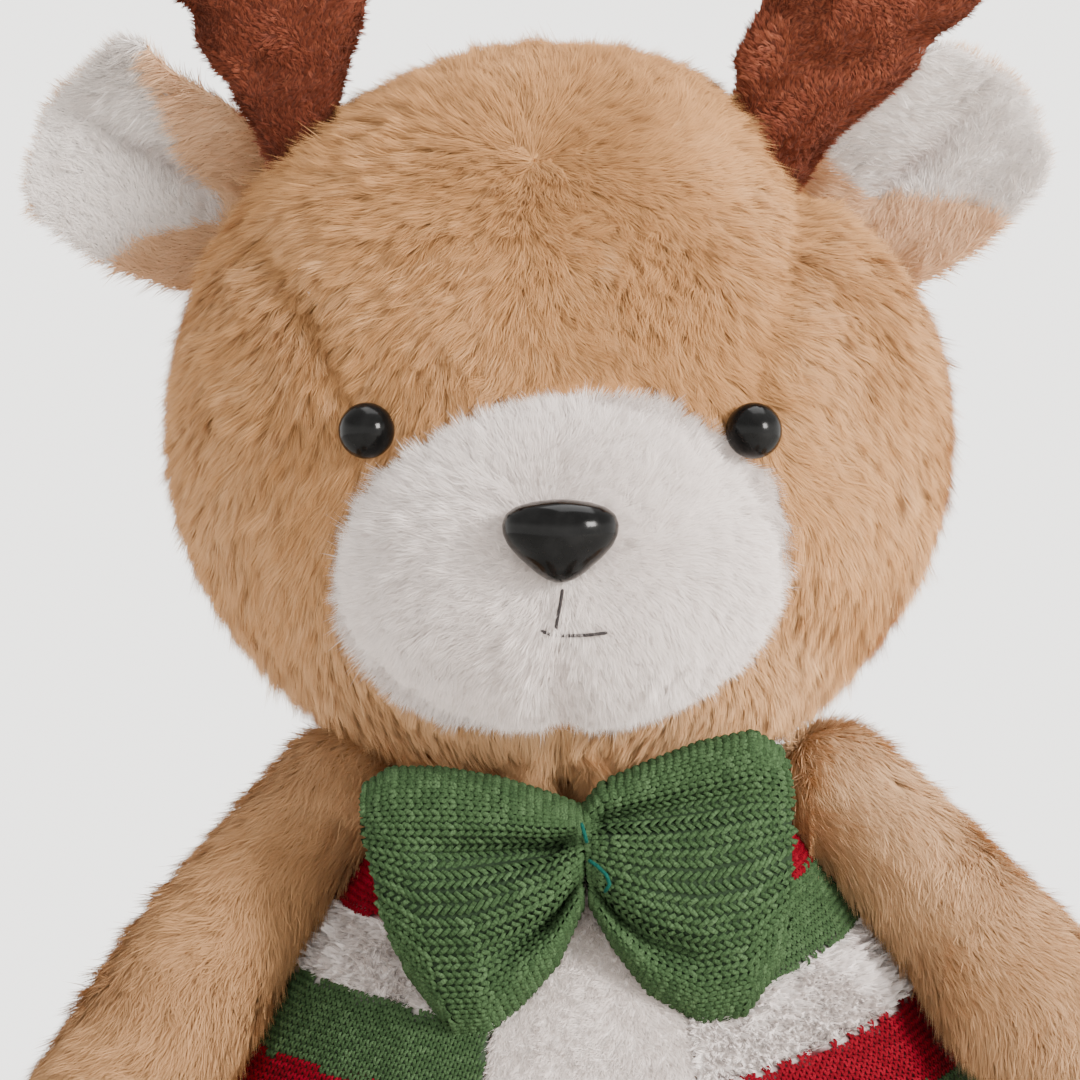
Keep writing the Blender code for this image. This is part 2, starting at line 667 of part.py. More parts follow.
def clipped(outline, low, high):
    """The stretch of an outline between two heights, with its ends exactly there."""
    points = []
    for (first, top), (last, bottom) in zip(outline, outline[1:]):
        if bottom >= top:
            continue
        for height in (high, low):
            if bottom < height < top:
                points.append((first + (last - first) * (top - height) / (top - bottom), height))
        if low < bottom < high:
            points.append((last, bottom))
    return sorted(set(points), key=lambda point: -point[1])


def facet_dip():
    """How far the middle of a torso facet lies inside the round that it stands for."""
    return TORSO_HALF_WIDTH * (1 - math.cos(math.pi / BODY_STEPS))


def cloth_lie():
    """How far the cloth lies off the torso, so that its facets clear the torso's."""
    return GAP + facet_dip()


def make_cloth(seats):
    """The belly panel and the three waistcoat panels, each a curved sheet on the torso."""
    front = -math.pi / 2
    beside = VEST_SIDE_ANGLE - BELLY_HALF_ANGLE - 3 * VEST_SLIT
    behind = math.tau - 2 * VEST_SIDE_ANGLE - 2 * VEST_SLIT
    pieces = (
        ("belly_panel", BELLY_BOTTOM, front - BELLY_HALF_ANGLE, 2 * BELLY_HALF_ANGLE, WHITE),
        ("vest_front_left", VEST_HEM, front + BELLY_HALF_ANGLE + 2 * VEST_SLIT, beside, KNIT_RED),
        ("vest_front_right", VEST_HEM, front - VEST_SIDE_ANGLE + VEST_SLIT, beside, KNIT_GREEN),
        ("vest_back", VEST_HEM, front + VEST_SIDE_ANGLE + VEST_SLIT, behind, KNIT_RED),
    )
    for name, low, start, angle, colour in pieces:
        sheet = sheet_loop(low, VEST_TOP, cloth_lie(), CLOTH)
        steps = max(4, round(BODY_STEPS * angle / math.tau))
        panel = node(name, turned(name, sheet, steps, start, angle, shallow=True), colour)
        if name != "belly_panel":
            cut(panel, *seats)


def make_head(neck_seat):
    """The head's skin and stuffing, and the muzzle that is sewn on its front."""
    radii = (HEAD_HALF_WIDTH, HEAD_HALF_DEPTH, HEAD_RISE)
    inner = -FABRIC - 2 * GAP
    skin = node("head_skin", egg("head_skin", HEAD_CENTRE, radii, HEAD_STEPS, 0.0, HEAD_DROP), TAN)
    filling = egg("head_stuffing", HEAD_CENTRE, radii, LINING_STEPS, inner, HEAD_DROP)
    stuffing = node("head_stuffing", filling, FILLING_WHITE)
    lining = cutter(egg("head_lining", HEAD_CENTRE, radii, LINING_STEPS, -FABRIC, HEAD_DROP))
    cut(skin, lining, neck_seat)
    cut(stuffing, neck_seat)

    over = cutter(egg("head_over", HEAD_CENTRE, radii, HEAD_STEPS, GAP, HEAD_DROP))
    centre = muzzle_centre()
    mound = (MUZZLE_HALF_WIDTH, MUZZLE_HALF_DEPTH, MUZZLE_HALF_HEIGHT)
    muzzle = node("muzzle_skin", egg("muzzle_skin", centre, mound, MUZZLE_STEPS), WHITE)
    filling = egg("muzzle_stuffing", centre, mound, MUZZLE_LINING_STEPS, inner)
    padding = node("muzzle_stuffing", filling, FILLING_WHITE)
    hollow = cutter(egg("muzzle_lining", centre, mound, MUZZLE_LINING_STEPS, -FABRIC))
    cut(muzzle, over, hollow)
    cut(padding, over)
    return skin, stuffing, muzzle, padding


def make_eyes(skin, stuffing):
    """Each eye is a bead on a shank that a washer locks behind the cloth."""
    for side_name, side in SIDES:
        name = f"eye_{side_name}"
        place, out = head_point(side * EYE_SPREAD, EYE_LIFT, EYE_PROUD)
        deep = place - out * EYE_SHANK
        bead = node(name, ball(name, place, EYE_RADIUS, LIMB_STEPS), PLASTIC_BLACK, GLOSSY)
        cut(bead, cutter(rod(f"{name}_shank", place, deep, SHANK_RADIUS)), operation="UNION")
        socket = cutter(ball(f"{name}_socket", place, EYE_RADIUS + GAP, LIMB_STEPS))
        hole = cutter(rod(f"{name}_hole", place, deep - out * GAP, SHANK_RADIUS + GAP))
        cut(skin, socket, hole)
        seat = place - out * (EYE_PROUD + FABRIC + WASHER_SLACK + WASHER_THICK)
        node(f"eye_washer_{side_name}", washer(f"eye_washer_{side_name}", seat, out), PLASTIC_BLACK, SATIN)
        cut(stuffing, washer_pocket(name, place, seat, out), hole)


def make_nose(muzzle, padding):
    """The nose is locked like the eyes, and the mouth is two stitched threads below it."""
    centre = muzzle_centre()
    place = centre + Vector((0.0, -MUZZLE_HALF_DEPTH - NOSE_PROUD, NOSE_LIFT))
    deep = place + BACK * NOSE_SHANK
    nose = node("nose", nose_mesh("nose", place), PLASTIC_BLACK, GLOSSY)
    cut(nose, cutter(rod("nose_shank", place, deep, SHANK_RADIUS)), operation="UNION")
    bed = cutter(nose_mesh("nose_bed", place, GAP))
    hole = cutter(rod("nose_hole", place, deep + BACK * GAP, SHANK_RADIUS + GAP))
    cut(muzzle, bed, hole)
    seat = place + BACK * (NOSE_PROUD + FABRIC + 2 * WASHER_SLACK + WASHER_THICK)
    node("nose_washer", washer("nose_washer", seat, BACK), PLASTIC_BLACK, SATIN)
    cut(padding, bed, washer_pocket("nose", place, seat, -BACK), hole)

    proud = 2 * GAP + MOUTH_THREAD
    top = NOSE_LIFT - NOSE_HALF_HEIGHT - MOUTH_NOSE_GAP
    low = top - MOUTH_DROP
    runs = [turn / MOUTH_STITCHES for turn in range(MOUTH_STITCHES + 1)]
    drop = [muzzle_point(0.0, top + (low - top) * run, proud) for run in runs]
    line = [muzzle_point(MOUTH_HALF_WIDTH * run, low, proud) for run in [-r for r in runs[:0:-1]] + runs]
    stitch = node("mouth_stitching", thread("mouth_stitching", line, MOUTH_THREAD), THREAD_GREY)
    cut(stitch, cutter(thread("mouth_upright", drop, MOUTH_THREAD)), operation="UNION")


def thread(name, points, radius):
    """A round thread through points."""
    rings = []
    for here, point in enumerate(points):
        run = points[min(here + 1, len(points) - 1)] - points[max(here - 1, 0)]
        wide, deep = frame_of(run.normalized(), BACK)
        rings.append(ring(point, wide * radius, deep * radius, THREAD_STEPS))
    return loft(name, rings)


def make_ears(skin):
    for side_name, side in SIDES:
        place, length = ear_place(side_name, side), EAR_LENGTH[side_name]
        back = node(f"ear_back_{side_name}", ear_mesh(f"ear_back_{side_name}", place, length, EAR_SHARES), TAN)
        form = (place, length, EAR_LINING_SHARES, EAR_LINING_PROUD)
        node(f"ear_lining_{side_name}", ear_mesh(f"ear_lining_{side_name}", *form), WHITE)
        cut(back, cutter(ear_mesh(f"ear_pocket_{side_name}", *form, GAP)))
        cut(skin, cutter(ear_groove(f"ear_groove_{side_name}", place)))


def make_antlers(skin, stuffing):
    """Each antler's round root sits in a seat in the crown, under a flared throat."""
    low, high, tall = (share * ANTLER_BALL for share in ANTLER_THROAT_SHARES)
    for side_name, side in SIDES:
        name = f"antler_{side_name}"
        place = antler_place(side_name, side)
        palm, outer, inner = antler_parts(name, side, place, ANTLER_PALM_SHARES[side_name])
        antler = node(name, palm, ANTLER_BROWN)
        cut(antler, cutter(outer), cutter(inner), operation="UNION")
        seat = cutter(ball(f"{name}_seat", antler_ball(side), ANTLER_BALL + SEAM_GAP, LIMB_STEPS))
        throat = cone_mesh(f"{name}_throat", low, high, tall)
        throat.transform(place)
        cut(skin, seat, cutter(throat))
        cut(stuffing, seat)


def cone_mesh(name, low, high, tall):
    """A cone that opens upward from its origin."""
    bm = bmesh.new()
    bmesh.ops.create_cone(bm, cap_ends=True, segments=LIMB_STEPS, radius1=low, radius2=high, depth=tall)
    bmesh.ops.translate(bm, verts=bm.verts, vec=UP * tall / 2)
    return close(bm, name)


def make_limb(name, path, short_path, ball_radius, shares, steps, blunt=0.0):
    """A limb's skin, open at its seam, and its stuffing."""
    skin = node(f"{name}_skin", limb(f"{name}_skin", path, ball_radius, shares, steps, 0.0, blunt), TAN)
    lining = limb(f"{name}_lining", short_path, ball_radius, shares, steps - 2, FABRIC, blunt)
    start, control, _ = path
    inward = (start - control).normalized() * (ball_radius + OVERRUN)
    mouth = rod(f"{name}_mouth", start, start + inward, ball_radius * MOUTH_SHARE)
    cut(skin, cutter(lining), cutter(mouth))
    filling = limb(f"{name}_stuffing", short_path, ball_radius, shares, steps - 4, FABRIC + 3 * GAP, blunt)
    node(f"{name}_stuffing", filling, FILLING_WHITE)
    return skin


def make_arms():
    """Each arm lies against the waistcoat, which flattens it there."""
    beside_body = offset_outline(torso_outline()[:-1], cloth_lie() + CLOTH + GAP + facet_dip())
    beside_body[0] = (0.0, beside_body[0][1])
    for side_name, side in SIDES:
        name = f"arm_{side_name}"
        path = arm_path(side_name, side)
        skin = make_limb(name, path, path, ARM_BALL, ARM_RADIUS_SHARES, LIMB_STEPS)
        beside = cutter(turned(f"{name}_beside", beside_body + [(0.0, 0.0)], BODY_STEPS, shallow=True))
        free = ball(f"{name}_free", path[0], seat_radius(ARM_BALL) - 2 * GAP, SEAT_STEPS)
        cut(beside, cutter(free))
        cut(skin, beside)
        seam = seam_band(f"{name}_seam", path[0], RIGHT * -side, ARM_BALL, *ARM_SEAM, SEAM_STEPS)
        node(f"{name}_seam", seam, TAN)


def make_legs():
    """Each leg is blunt at its foot, which a flat sole closes."""
    for side_name, side in SIDES:
        name = f"leg_{side_name}"
        path = leg_path(side)
        heading = leg_heading(side)
        short_path = leg_path(side, FABRIC)
        make_limb(name, path, short_path, LEG_BALL, LEG_RADIUS_SHARES, LEG_STEPS, LEG_BLUNT_SHARE)
        seam = seam_band(f"{name}_seam", path[0], -heading, LEG_BALL, *LEG_SEAM, SEAM_STEPS)
        node(f"{name}_seam", seam, TAN)
        far = LEG_BALL * (1 - LEG_BLUNT_SHARE)
        wide = LEG_BALL * LEG_RADIUS_SHARES[-1][1] * LEG_BLUNT_SHARE
        outline = ((0.0, SOLE_THICK), (wide - SOLE_EDGE, SOLE_THICK), (wide, SOLE_THICK - SOLE_ROUND),
                   (wide, 0.0), (0.0, 0.0))
        sole = turned(f"{name}_sole", outline, LIMB_STEPS)
        node(f"{name}_sole", placed(sole, path[2] + heading * (far + GAP), heading), TAN)


def bow_place():
    """The bow's middle in front of the waistcoat, leaning with the chest, and its tilt."""
    lie = cloth_lie() + CLOTH
    low = torso_front(BOW_HEIGHT - BOW_HALF_HEIGHT, 0.0, lie)
    mid = torso_front(BOW_HEIGHT, 0.0, lie)
    lean = math.atan2(mid.y - low.y, BOW_HALF_HEIGHT)
    knot = BOW_HALF_THICK * BOW_SHARES[0][2]
    centre = Vector((BOW_CENTRE_X, mid.y - BOW_STANDOFF - knot, BOW_HEIGHT))
    turn = Matrix.Rotation(-lean, 4, "X") @ Matrix.Rotation(-BOW_TILT, 4, "Y")
    return Matrix.Translation(centre) @ turn


def make_bow():
    """A flat knitted tube drawn in at its middle, tilted on the chest, with its thread."""
    place = bow_place()
    _, knot_tall, knot_deep = (share * size for share, size in zip(
        BOW_SHARES[0], (BOW_HALF_WIDTH, BOW_HALF_HEIGHT, BOW_HALF_THICK)))
    shares = [(-along, tall, thick) for along, tall, thick in reversed(BOW_SHARES[1:])] + list(BOW_SHARES)
    rings = []
    for along, tall, thick in shares:
        middle = RIGHT * along * BOW_HALF_WIDTH - BACK * (BOW_HALF_THICK * thick - knot_deep)
        middle -= UP * BOW_DROOP * abs(along) ** BOW_DROOP_POWER
        rings.append(ring(middle, UP * tall * BOW_HALF_HEIGHT, BACK * thick * BOW_HALF_THICK, LIMB_STEPS))
    mesh = loft("bow_tie", rings)
    mesh.transform(place)
    node("bow_tie", mesh, KNIT_GREEN)

    proud = 2 * GAP + THREAD_RADIUS
    points = []
    for turn in range(BOW_THREAD_RUNS + 1):
        run = turn / BOW_THREAD_RUNS
        angle = BOW_THREAD_FROM + (BOW_THREAD_TO - BOW_THREAD_FROM) * run
        points.append(place @ Vector((
            BOW_THREAD_SLANT * (run - 0.5),
            (knot_deep + proud) * math.sin(angle),
            (knot_tall + proud) * math.cos(angle),
        )))
    node("bow_thread", thread("bow_thread", points, THREAD_RADIUS), THREAD_TEAL)


def make_tail():
    """A small stuffed tab, cut to lie close to the torso."""
    surface = torso_front(TAIL_HEIGHT, 0.0)
    place = Vector((0.0, TAIL_OUT - surface.y, TAIL_HEIGHT))
    radii = (TAIL_HALF_WIDTH, TAIL_HALF_THICK, TAIL_HALF_LENGTH)
    tail = node("tail", egg("tail", place, radii, LIMB_STEPS), TAN)
    close_to = offset_outline(torso_outline()[:-1], TAIL_GAP) + [(0.0, 0.0)]
    cut(tail, cutter(turned("tail_clearance", close_to, BODY_STEPS, shallow=True)))


clear_scene()
DEER = collection("plush_deer")
CUTTERS = collection("cutters")

arm_seats = [cutter(ball(f"arm_seat_{n}", shoulder(s), seat_radius(ARM_BALL), SEAT_STEPS)) for n, s in SIDES]
leg_seats = [cutter(ball(f"leg_seat_{n}", hip(s), seat_radius(LEG_BALL), SEAT_STEPS)) for n, s in SIDES]
neck_seat = cutter(ball("neck_seat", NECK, seat_radius(NECK_RADIUS), HEAD_STEPS))

make_torso(arm_seats + leg_seats)
make_cloth(arm_seats)
head_skin, head_stuffing, muzzle_skin, muzzle_stuffing = make_head(neck_seat)
make_eyes(head_skin, head_stuffing)
make_nose(muzzle_skin, muzzle_stuffing)
make_ears(head_skin)
make_antlers(head_skin, head_stuffing)
make_arms()
make_legs()
make_bow()
make_tail()
node("neck_seam", seam_band("neck_seam", NECK, UP, NECK_RADIUS, *NECK_SEAM, HEAD_STEPS), TAN)
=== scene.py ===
# %% [markdown]
# A seated plush deer is a set of stuffed shapes with three very different surfaces: a long
# brushed pile, a short velvety pile, and knitted wool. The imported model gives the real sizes
# and the places where things are sewn and turn. Every piece below is fitted to it.

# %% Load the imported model
import json
import math

import bmesh
import bpy
import numpy as np
from mathutils import Matrix, Vector
from mathutils.bvhtree import BVHTree
from mathutils.kdtree import KDTree


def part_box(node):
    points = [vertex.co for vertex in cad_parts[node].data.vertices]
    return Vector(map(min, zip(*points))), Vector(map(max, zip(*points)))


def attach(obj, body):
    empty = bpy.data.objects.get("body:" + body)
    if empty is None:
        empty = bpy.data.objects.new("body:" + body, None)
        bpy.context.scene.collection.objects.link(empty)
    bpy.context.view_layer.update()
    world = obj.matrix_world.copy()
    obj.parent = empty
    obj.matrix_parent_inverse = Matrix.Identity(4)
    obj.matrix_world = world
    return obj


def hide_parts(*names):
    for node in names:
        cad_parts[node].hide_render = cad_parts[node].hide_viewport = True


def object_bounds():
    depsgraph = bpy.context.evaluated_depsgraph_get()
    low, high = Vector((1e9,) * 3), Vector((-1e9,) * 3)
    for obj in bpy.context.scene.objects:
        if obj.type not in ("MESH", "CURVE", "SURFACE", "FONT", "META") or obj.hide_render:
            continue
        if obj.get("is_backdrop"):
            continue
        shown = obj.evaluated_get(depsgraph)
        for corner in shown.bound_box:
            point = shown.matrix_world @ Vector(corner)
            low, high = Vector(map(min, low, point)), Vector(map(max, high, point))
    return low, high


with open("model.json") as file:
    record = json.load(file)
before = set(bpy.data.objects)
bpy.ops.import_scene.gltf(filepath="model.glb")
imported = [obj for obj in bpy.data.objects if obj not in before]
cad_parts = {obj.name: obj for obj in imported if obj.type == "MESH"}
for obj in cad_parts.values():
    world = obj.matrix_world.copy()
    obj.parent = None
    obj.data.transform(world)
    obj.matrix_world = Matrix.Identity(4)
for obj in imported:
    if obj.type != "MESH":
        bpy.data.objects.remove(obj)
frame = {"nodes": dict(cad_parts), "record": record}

cad_low, cad_high = (list(corner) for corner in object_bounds())
SIDES = (("left", 1), ("right", -1))
scene = bpy.context.scene
print("the toy's box", [round(high - low, 4) for low, high in zip(cad_low, cad_high)])

# %% [markdown]
# Places that the photograph shows are read off in its pixels and turned into metres. One pixel
# is 0.2 mm on an upright plane through the middle of the toy, which is where its outline lies.

# %% Photograph to metres
PHOTO_PIXEL = 0.0002
PHOTO_MIDDLE_X = 590
PHOTO_EYE_LINE = 430
EYE_LINE_HEIGHT = 0.239


def seen(px, py):
    """Where a pixel of the photograph lies across and up, in metres."""
    return (px - PHOTO_MIDDLE_X) * PHOTO_PIXEL, EYE_LINE_HEIGHT - (py - PHOTO_EYE_LINE) * PHOTO_PIXEL


print("the picture's middle is at", seen(540, 540))

# %% [markdown]
# A node graph is easier to read when each node is one short call. `shader` adds a node, sets
# its plain values and links its sockets.

# %% Small helpers for materials


def new_material(name):
    made = bpy.data.materials.new(name)
    made.use_nodes = True
    tree = made.node_tree
    return made, tree, tree.nodes["Principled BSDF"]


def shader(tree, kind, links=(), **values):
    """A node of a kind, with links as (input, socket) and values set on its attributes."""
    made = tree.nodes.new(kind)
    for key, value in values.items():
        setattr(made, key, value)
    for which, source in links:
        if hasattr(source, "node"):
            tree.links.new(source, made.inputs[which])
        else:
            made.inputs[which].default_value = source
    return made


def ramp(tree, source, stops):
    """A colour ramp over (place, colour) stops."""
    made = shader(tree, "ShaderNodeValToRGB", [(0, source)])
    elements = made.color_ramp.elements
    while len(elements) < len(stops):
        elements.new(0.5)
    for element, (place, colour) in zip(elements, stops):
        element.position = place
        element.color = (*colour, 1.0)
    return made.outputs[0]


def sheen(principled, weight, roughness, tint):
    principled.inputs["Sheen Weight"].default_value = weight
    principled.inputs["Sheen Roughness"].default_value = roughness
    principled.inputs["Sheen Tint"].default_value = (*tint, 1.0)


def grey(value):
    return (value, value, value)


print("material helpers ready")

# %% [markdown]
# Plush fibres are dyed once but never look one colour. Near the backing they shade each other,
# at the tips they catch the light, and neighbours differ a little. Each strand carries this in
# its UV map: across is how light the strand is, and up runs from its root to its tip.

# %% Material of a pile


def mix_colour(tree, blend, factor, first, second):
    """Two colours blended; a factor is a number or a socket."""
    made = shader(tree, "ShaderNodeMix", data_type="RGBA", blend_type=blend)
    for which, source in ((0, factor), (6, first), (7, second)):
        if hasattr(source, "node"):
            tree.links.new(source, made.inputs[which])
        elif which:
            made.inputs[which].default_value = (*source, 1.0)
        else:
            made.inputs[which].default_value = source
    return made.outputs[2]


def strand_dye(tree, dark, middle, light):
    """The colour of a strand by its own tone, how far up the strand a point is, and its place."""
    place = shader(tree, "ShaderNodeUVMap", uv_map="OFBake").outputs[0]
    split = shader(tree, "ShaderNodeSeparateXYZ", [(0, place)])
    dye = ramp(tree, split.outputs[0], [(0.0, dark), (0.5, middle), (1.0, light)])
    return dye, split.outputs[1], place


def plush(name, dark, middle, light, root_shade=0.42, sheen_weight=0.3):
    """Pile whose colour follows each strand's own tone and height."""
    made, tree, principled = new_material(name)
    dye, up, _ = strand_dye(tree, dark, middle, light)
    depth = ramp(tree, up, [(0.0, grey(root_shade)), (0.4, grey(0.82)), (1.0, grey(1.0))])
    tree.links.new(mix_colour(tree, "MULTIPLY", 1.0, dye, depth), principled.inputs["Base Color"])
    principled.inputs["Roughness"].default_value = 0.75
    principled.inputs["Specular IOR Level"].default_value = 0.25
    sheen(principled, sheen_weight, 0.45, light)
    return made


print("pile material ready")

# %% [markdown]
# Under the pile lies a woven cloth, which shows only where strands part. A fine noise darkens
# some of its threads. Where one cloth carries two colours, such as a striped panel, the colour
# is kept on the mesh's own corners as an attribute, and the material reads it.

# %% Material of a cloth
WEAVE = 900.0
WEAVE_DEPTH = 0.0004


def woven(tree, principled, colour, weave, dark, light):
    """Gives a finish its colour, speckled between two shades. The specks come back."""
    place = shader(tree, "ShaderNodeTexCoord").outputs["Object"]
    grain = shader(tree, "ShaderNodeTexNoise", [("Vector", place), ("Scale", weave), ("Detail", 2.0)])
    shade = ramp(tree, grain.outputs["Fac"], [(0.3, grey(dark)), (0.7, grey(light))])
    tree.links.new(mix_colour(tree, "MULTIPLY", 1.0, colour, shade), principled.inputs["Base Color"])
    return grain.outputs["Fac"]


def backing(name, colour, weave=WEAVE):
    """The woven cloth that the pile is rooted in."""
    made, tree, principled = new_material(name)
    grain = woven(tree, principled, colour, weave, 0.75, 1.1)
    bump = shader(tree, "ShaderNodeBump", [("Height", grain), ("Distance", WEAVE_DEPTH)])
    tree.links.new(bump.outputs[0], principled.inputs["Normal"])
    principled.inputs["Roughness"].default_value = 0.9
    principled.inputs["Specular IOR Level"].default_value = 0.2
    return made


def dyed_ground(name):
    """Cloth in the colour of its corners, to match the pile or the stripe over it."""
    made, tree, principled = new_material(name)
    dye = shader(tree, "ShaderNodeAttribute", attribute_name="Dye").outputs["Color"]
    woven(tree, principled, dye, WEAVE, 0.5, 0.9)
    principled.inputs["Roughness"].default_value = 0.95
    return made


print("cloth materials ready")

# %% [markdown]
# Each plush gets three colours: for its darkest, usual and lightest strands. The limbs' pile is
# painted lighter than the head's, as painted light against the shade the limbs lie in, and the
# pile on the ears' backs, where light shines through, is the lightest tan, also painted light.

# %% Plush materials
TAN_PILE = plush(
    "tan_plush_pile", (0.33, 0.150, 0.052), (0.51, 0.256, 0.098), (0.68, 0.41, 0.21), 0.78, 0.2,
)
# painted light: a lighter copy of the tan for the limbs, against the shade they lie in
LIGHTENED_LIMB_PILE = plush(
    "tan_limb_pile_painted_light", (0.40, 0.215, 0.09), (0.54, 0.30, 0.14), (0.74, 0.48, 0.27), 0.84, 0.2,
)
# painted light: the lightest copy of the tan, for the ears' backs
LIGHTENED_EAR_PILE = plush(
    "tan_ear_pile_painted_light", (0.55, 0.32, 0.17), (0.78, 0.50, 0.30), (0.88, 0.62, 0.42), 0.9, 0.3,
)
WHITE_PILE = plush(
    "white_plush_pile", (0.68, 0.58, 0.54), (0.83, 0.745, 0.705), (0.93, 0.87, 0.83), 0.9,
)
BROWN_PILE = plush(
    "brown_short_pile", (0.08, 0.014, 0.006), (0.185, 0.040, 0.018), (0.34, 0.10, 0.048), 0.5, 0.4,
)
CHENILLE_PILE = plush(
    "white_chenille", (0.76, 0.69, 0.66), (0.89, 0.82, 0.79), (0.95, 0.90, 0.88), 0.88,
)
TAN_BACKING = backing("tan_backing_cloth", (0.42, 0.21, 0.082))
WHITE_BACKING = backing("white_backing_cloth", (0.66, 0.60, 0.57))
BROWN_BACKING = backing("brown_backing_cloth", (0.075, 0.018, 0.009))
print("plush materials ready")

# %% [markdown]
# A shape is made once in a bmesh, and then becomes a piece: an object at the origin that rides
# on a body of the toy, takes one material and hides the imported solids that it stands for.

# %% From bmesh to piece


def stand(name, mesh):
    """An object at the origin that carries a mesh."""
    mesh.shade_smooth()
    made = bpy.data.objects.new(name, mesh)
    scene.collection.objects.link(made)
    return made


def put(name, bm):
    """An object at the origin that carries a finished bmesh."""
    mesh = bpy.data.meshes.new(name)
    bm.to_mesh(mesh)
    bm.free()
    return stand(name, mesh)


def dress(piece, body, slot, material, *nodes):
    """Makes a piece ride on a body, take a material and stand for solids. The slot is not used."""
    piece.data.materials.clear()
    piece.data.materials.append(material)
    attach(piece, body)
    if nodes:
        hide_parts(*nodes)
    return piece


def triangles(piece):
    piece.data.calc_loop_triangles()
    return len(piece.data.loop_triangles)


print("pieces can be made")

# %% [markdown]
# Moving thousands of corners one by one is slow. A mesh gives all its corners as one array, so
# a dent or a swell is a single sum over them, and the array goes back the same way.

# %% Corners as arrays


def corners_of(piece):
    """All vertices of a mesh as one array."""
    mesh = piece.data
    found = np.empty(len(mesh.vertices) * 3)
    mesh.vertices.foreach_get("co", found)
    return found.reshape(-1, 3)


def corner_normals(piece):
    """The smooth normals at all vertices of a mesh as one array."""
    mesh = piece.data
    found = np.empty(len(mesh.vertices) * 3)
    mesh.vertex_normals.foreach_get("vector", found)
    return found.reshape(-1, 3)


def move_corners(piece, places):
    piece.data.vertices.foreach_set("co", places.ravel())
    piece.data.update()


def dye_corners(piece, colours):
    """A colour for each corner of a piece, for its dyed cloth."""
    spread = np.concatenate([colours, np.ones((len(colours), 1))], axis=1)
    attribute = piece.data.color_attributes.new("Dye", "FLOAT_COLOR", "POINT")
    attribute.data.foreach_set("color", spread.ravel())


print("corners can be read and moved")

# %% [markdown]
# Two shapes start nearly every piece here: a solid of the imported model, whose loose triangles
# are joined first, and a ball, which is stretched, wrapped or folded into eggs, ears and the
# bow. Blender may list a new ball's faces in another order each time, so they are sorted.

# %% Starting shapes
WELD = 0.00002


def merged(node):
    """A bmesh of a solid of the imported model, with its loose triangles joined."""
    bm = bmesh.new()
    bm.from_mesh(frame["nodes"][node].data)
    bmesh.ops.remove_doubles(bm, verts=bm.verts, dist=WELD)
    return bm


def box_middle(node):
    return np.array([(low + high) / 2 for low, high in zip(*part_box(node))])


def surface_of(bm):
    """A bmesh as a surface that rays can be cast on. The bmesh is used up."""
    tree = BVHTree.FromBMesh(bm)
    bm.free()
    return tree


def soften(bm, factor):
    every = bm.verts
    bmesh.ops.smooth_vert(bm, verts=every, factor=factor, use_axis_x=True, use_axis_y=True, use_axis_z=True)


def ball(across, up):
    """A ball of radius one. Its parts are sorted, so that random draws on it repeat."""
    bm = bmesh.new()
    bmesh.ops.create_uvsphere(bm, u_segments=across, v_segments=up, radius=1.0)
    bm.verts.index_update()
    many = len(bm.verts)

    def first_come(part):
        first, second, *rest = sorted(vert.index for vert in part.verts)
        return (first * many + second) * many + (rest[0] if rest else 0)

    bm.edges.sort(key=first_come)
    bm.faces.sort(key=first_come)
    mesh = bpy.data.meshes.new("ball")
    bm.to_mesh(mesh)
    bm.clear()
    bm.from_mesh(mesh)
    bpy.data.meshes.remove(mesh)
    return bm


print("starting shapes ready")

# %% [markdown]
# A pile is thousands of strands. Hair curves would render well but can't leave Blender as a
# mesh, so each strand is a ribbon of a few faces: two corners at each of its rings and one at
# its tip. This cell finds where strands are rooted: random points, so many on each square
# millimetre, grouped into tufts of neighbours. Each draw has its own seed, so it repeats.

# %% Roots and tufts
WAVES = 9
WAVE_SPREAD = (0.5, 1.3)
WAVES_TOGETHER = 3.2
SQUARE_MM = 1e6
NO_LENGTH = 1e-12
SMALL = 1e-6


def unit(vectors):
    return vectors / np.maximum(np.linalg.norm(vectors, axis=1, keepdims=True), NO_LENGTH)


def bell(far, width):
    """One at no distance, and next to nothing at twice the width."""
    return np.exp(-((far / width) ** 2))


def straight(*direction):
    """A flow that is the same everywhere."""
    return lambda points, normals: np.tile(direction, (len(points), 1))


def ripple(points, size, seed):
    """A smooth value of about -1 to 1 at each point, which changes over a given size."""
    rng = np.random.default_rng(seed)
    waves = rng.normal(size=(WAVES, 3))
    waves *= (math.tau / size * rng.uniform(*WAVE_SPREAD, WAVES) / np.linalg.norm(waves, axis=1))[:, None]
    return np.sin(points @ waves.T + rng.uniform(0, math.tau, WAVES)).sum(axis=1) / WAVES_TOGETHER


def scatter(piece, density, rng):
    """Random points on a mesh, so many on each square millimetre, with its smooth normals."""
    mesh = piece.data
    mesh.calc_loop_triangles()
    faces = np.empty(len(mesh.loop_triangles) * 3, np.int32)
    mesh.loop_triangles.foreach_get("vertices", faces)
    faces = faces.reshape(-1, 3)
    places, normals = corners_of(piece), corner_normals(piece)
    a, b, c = (places[faces[:, k]] for k in range(3))
    areas = np.linalg.norm(np.cross(b - a, c - a), axis=1) / 2
    count = int(areas.sum() * SQUARE_MM * density)
    which = rng.choice(len(faces), count, p=areas / areas.sum())
    first, second = rng.random((2, count))
    over = first + second > 1
    first[over], second[over] = 1 - first[over], 1 - second[over]
    shares = np.stack([1 - first - second, first, second], axis=1)[:, :, None]
    points = (places[faces[which]] * shares).sum(axis=1)
    return points, unit((normals[faces[which]] * shares).sum(axis=1))


def tufts(roots, share, rng):
    """For each root, the index of the root at the middle of its tuft."""
    middles = rng.choice(len(roots), max(1, int(len(roots) * share)), replace=False)
    tree = KDTree(len(middles))
    for here, middle in enumerate(roots[middles].tolist()):
        tree.insert(middle, here)
    tree.balance()
    return middles[[tree.find(root)[1] for root in roots.tolist()]]


print("roots and tufts ready")

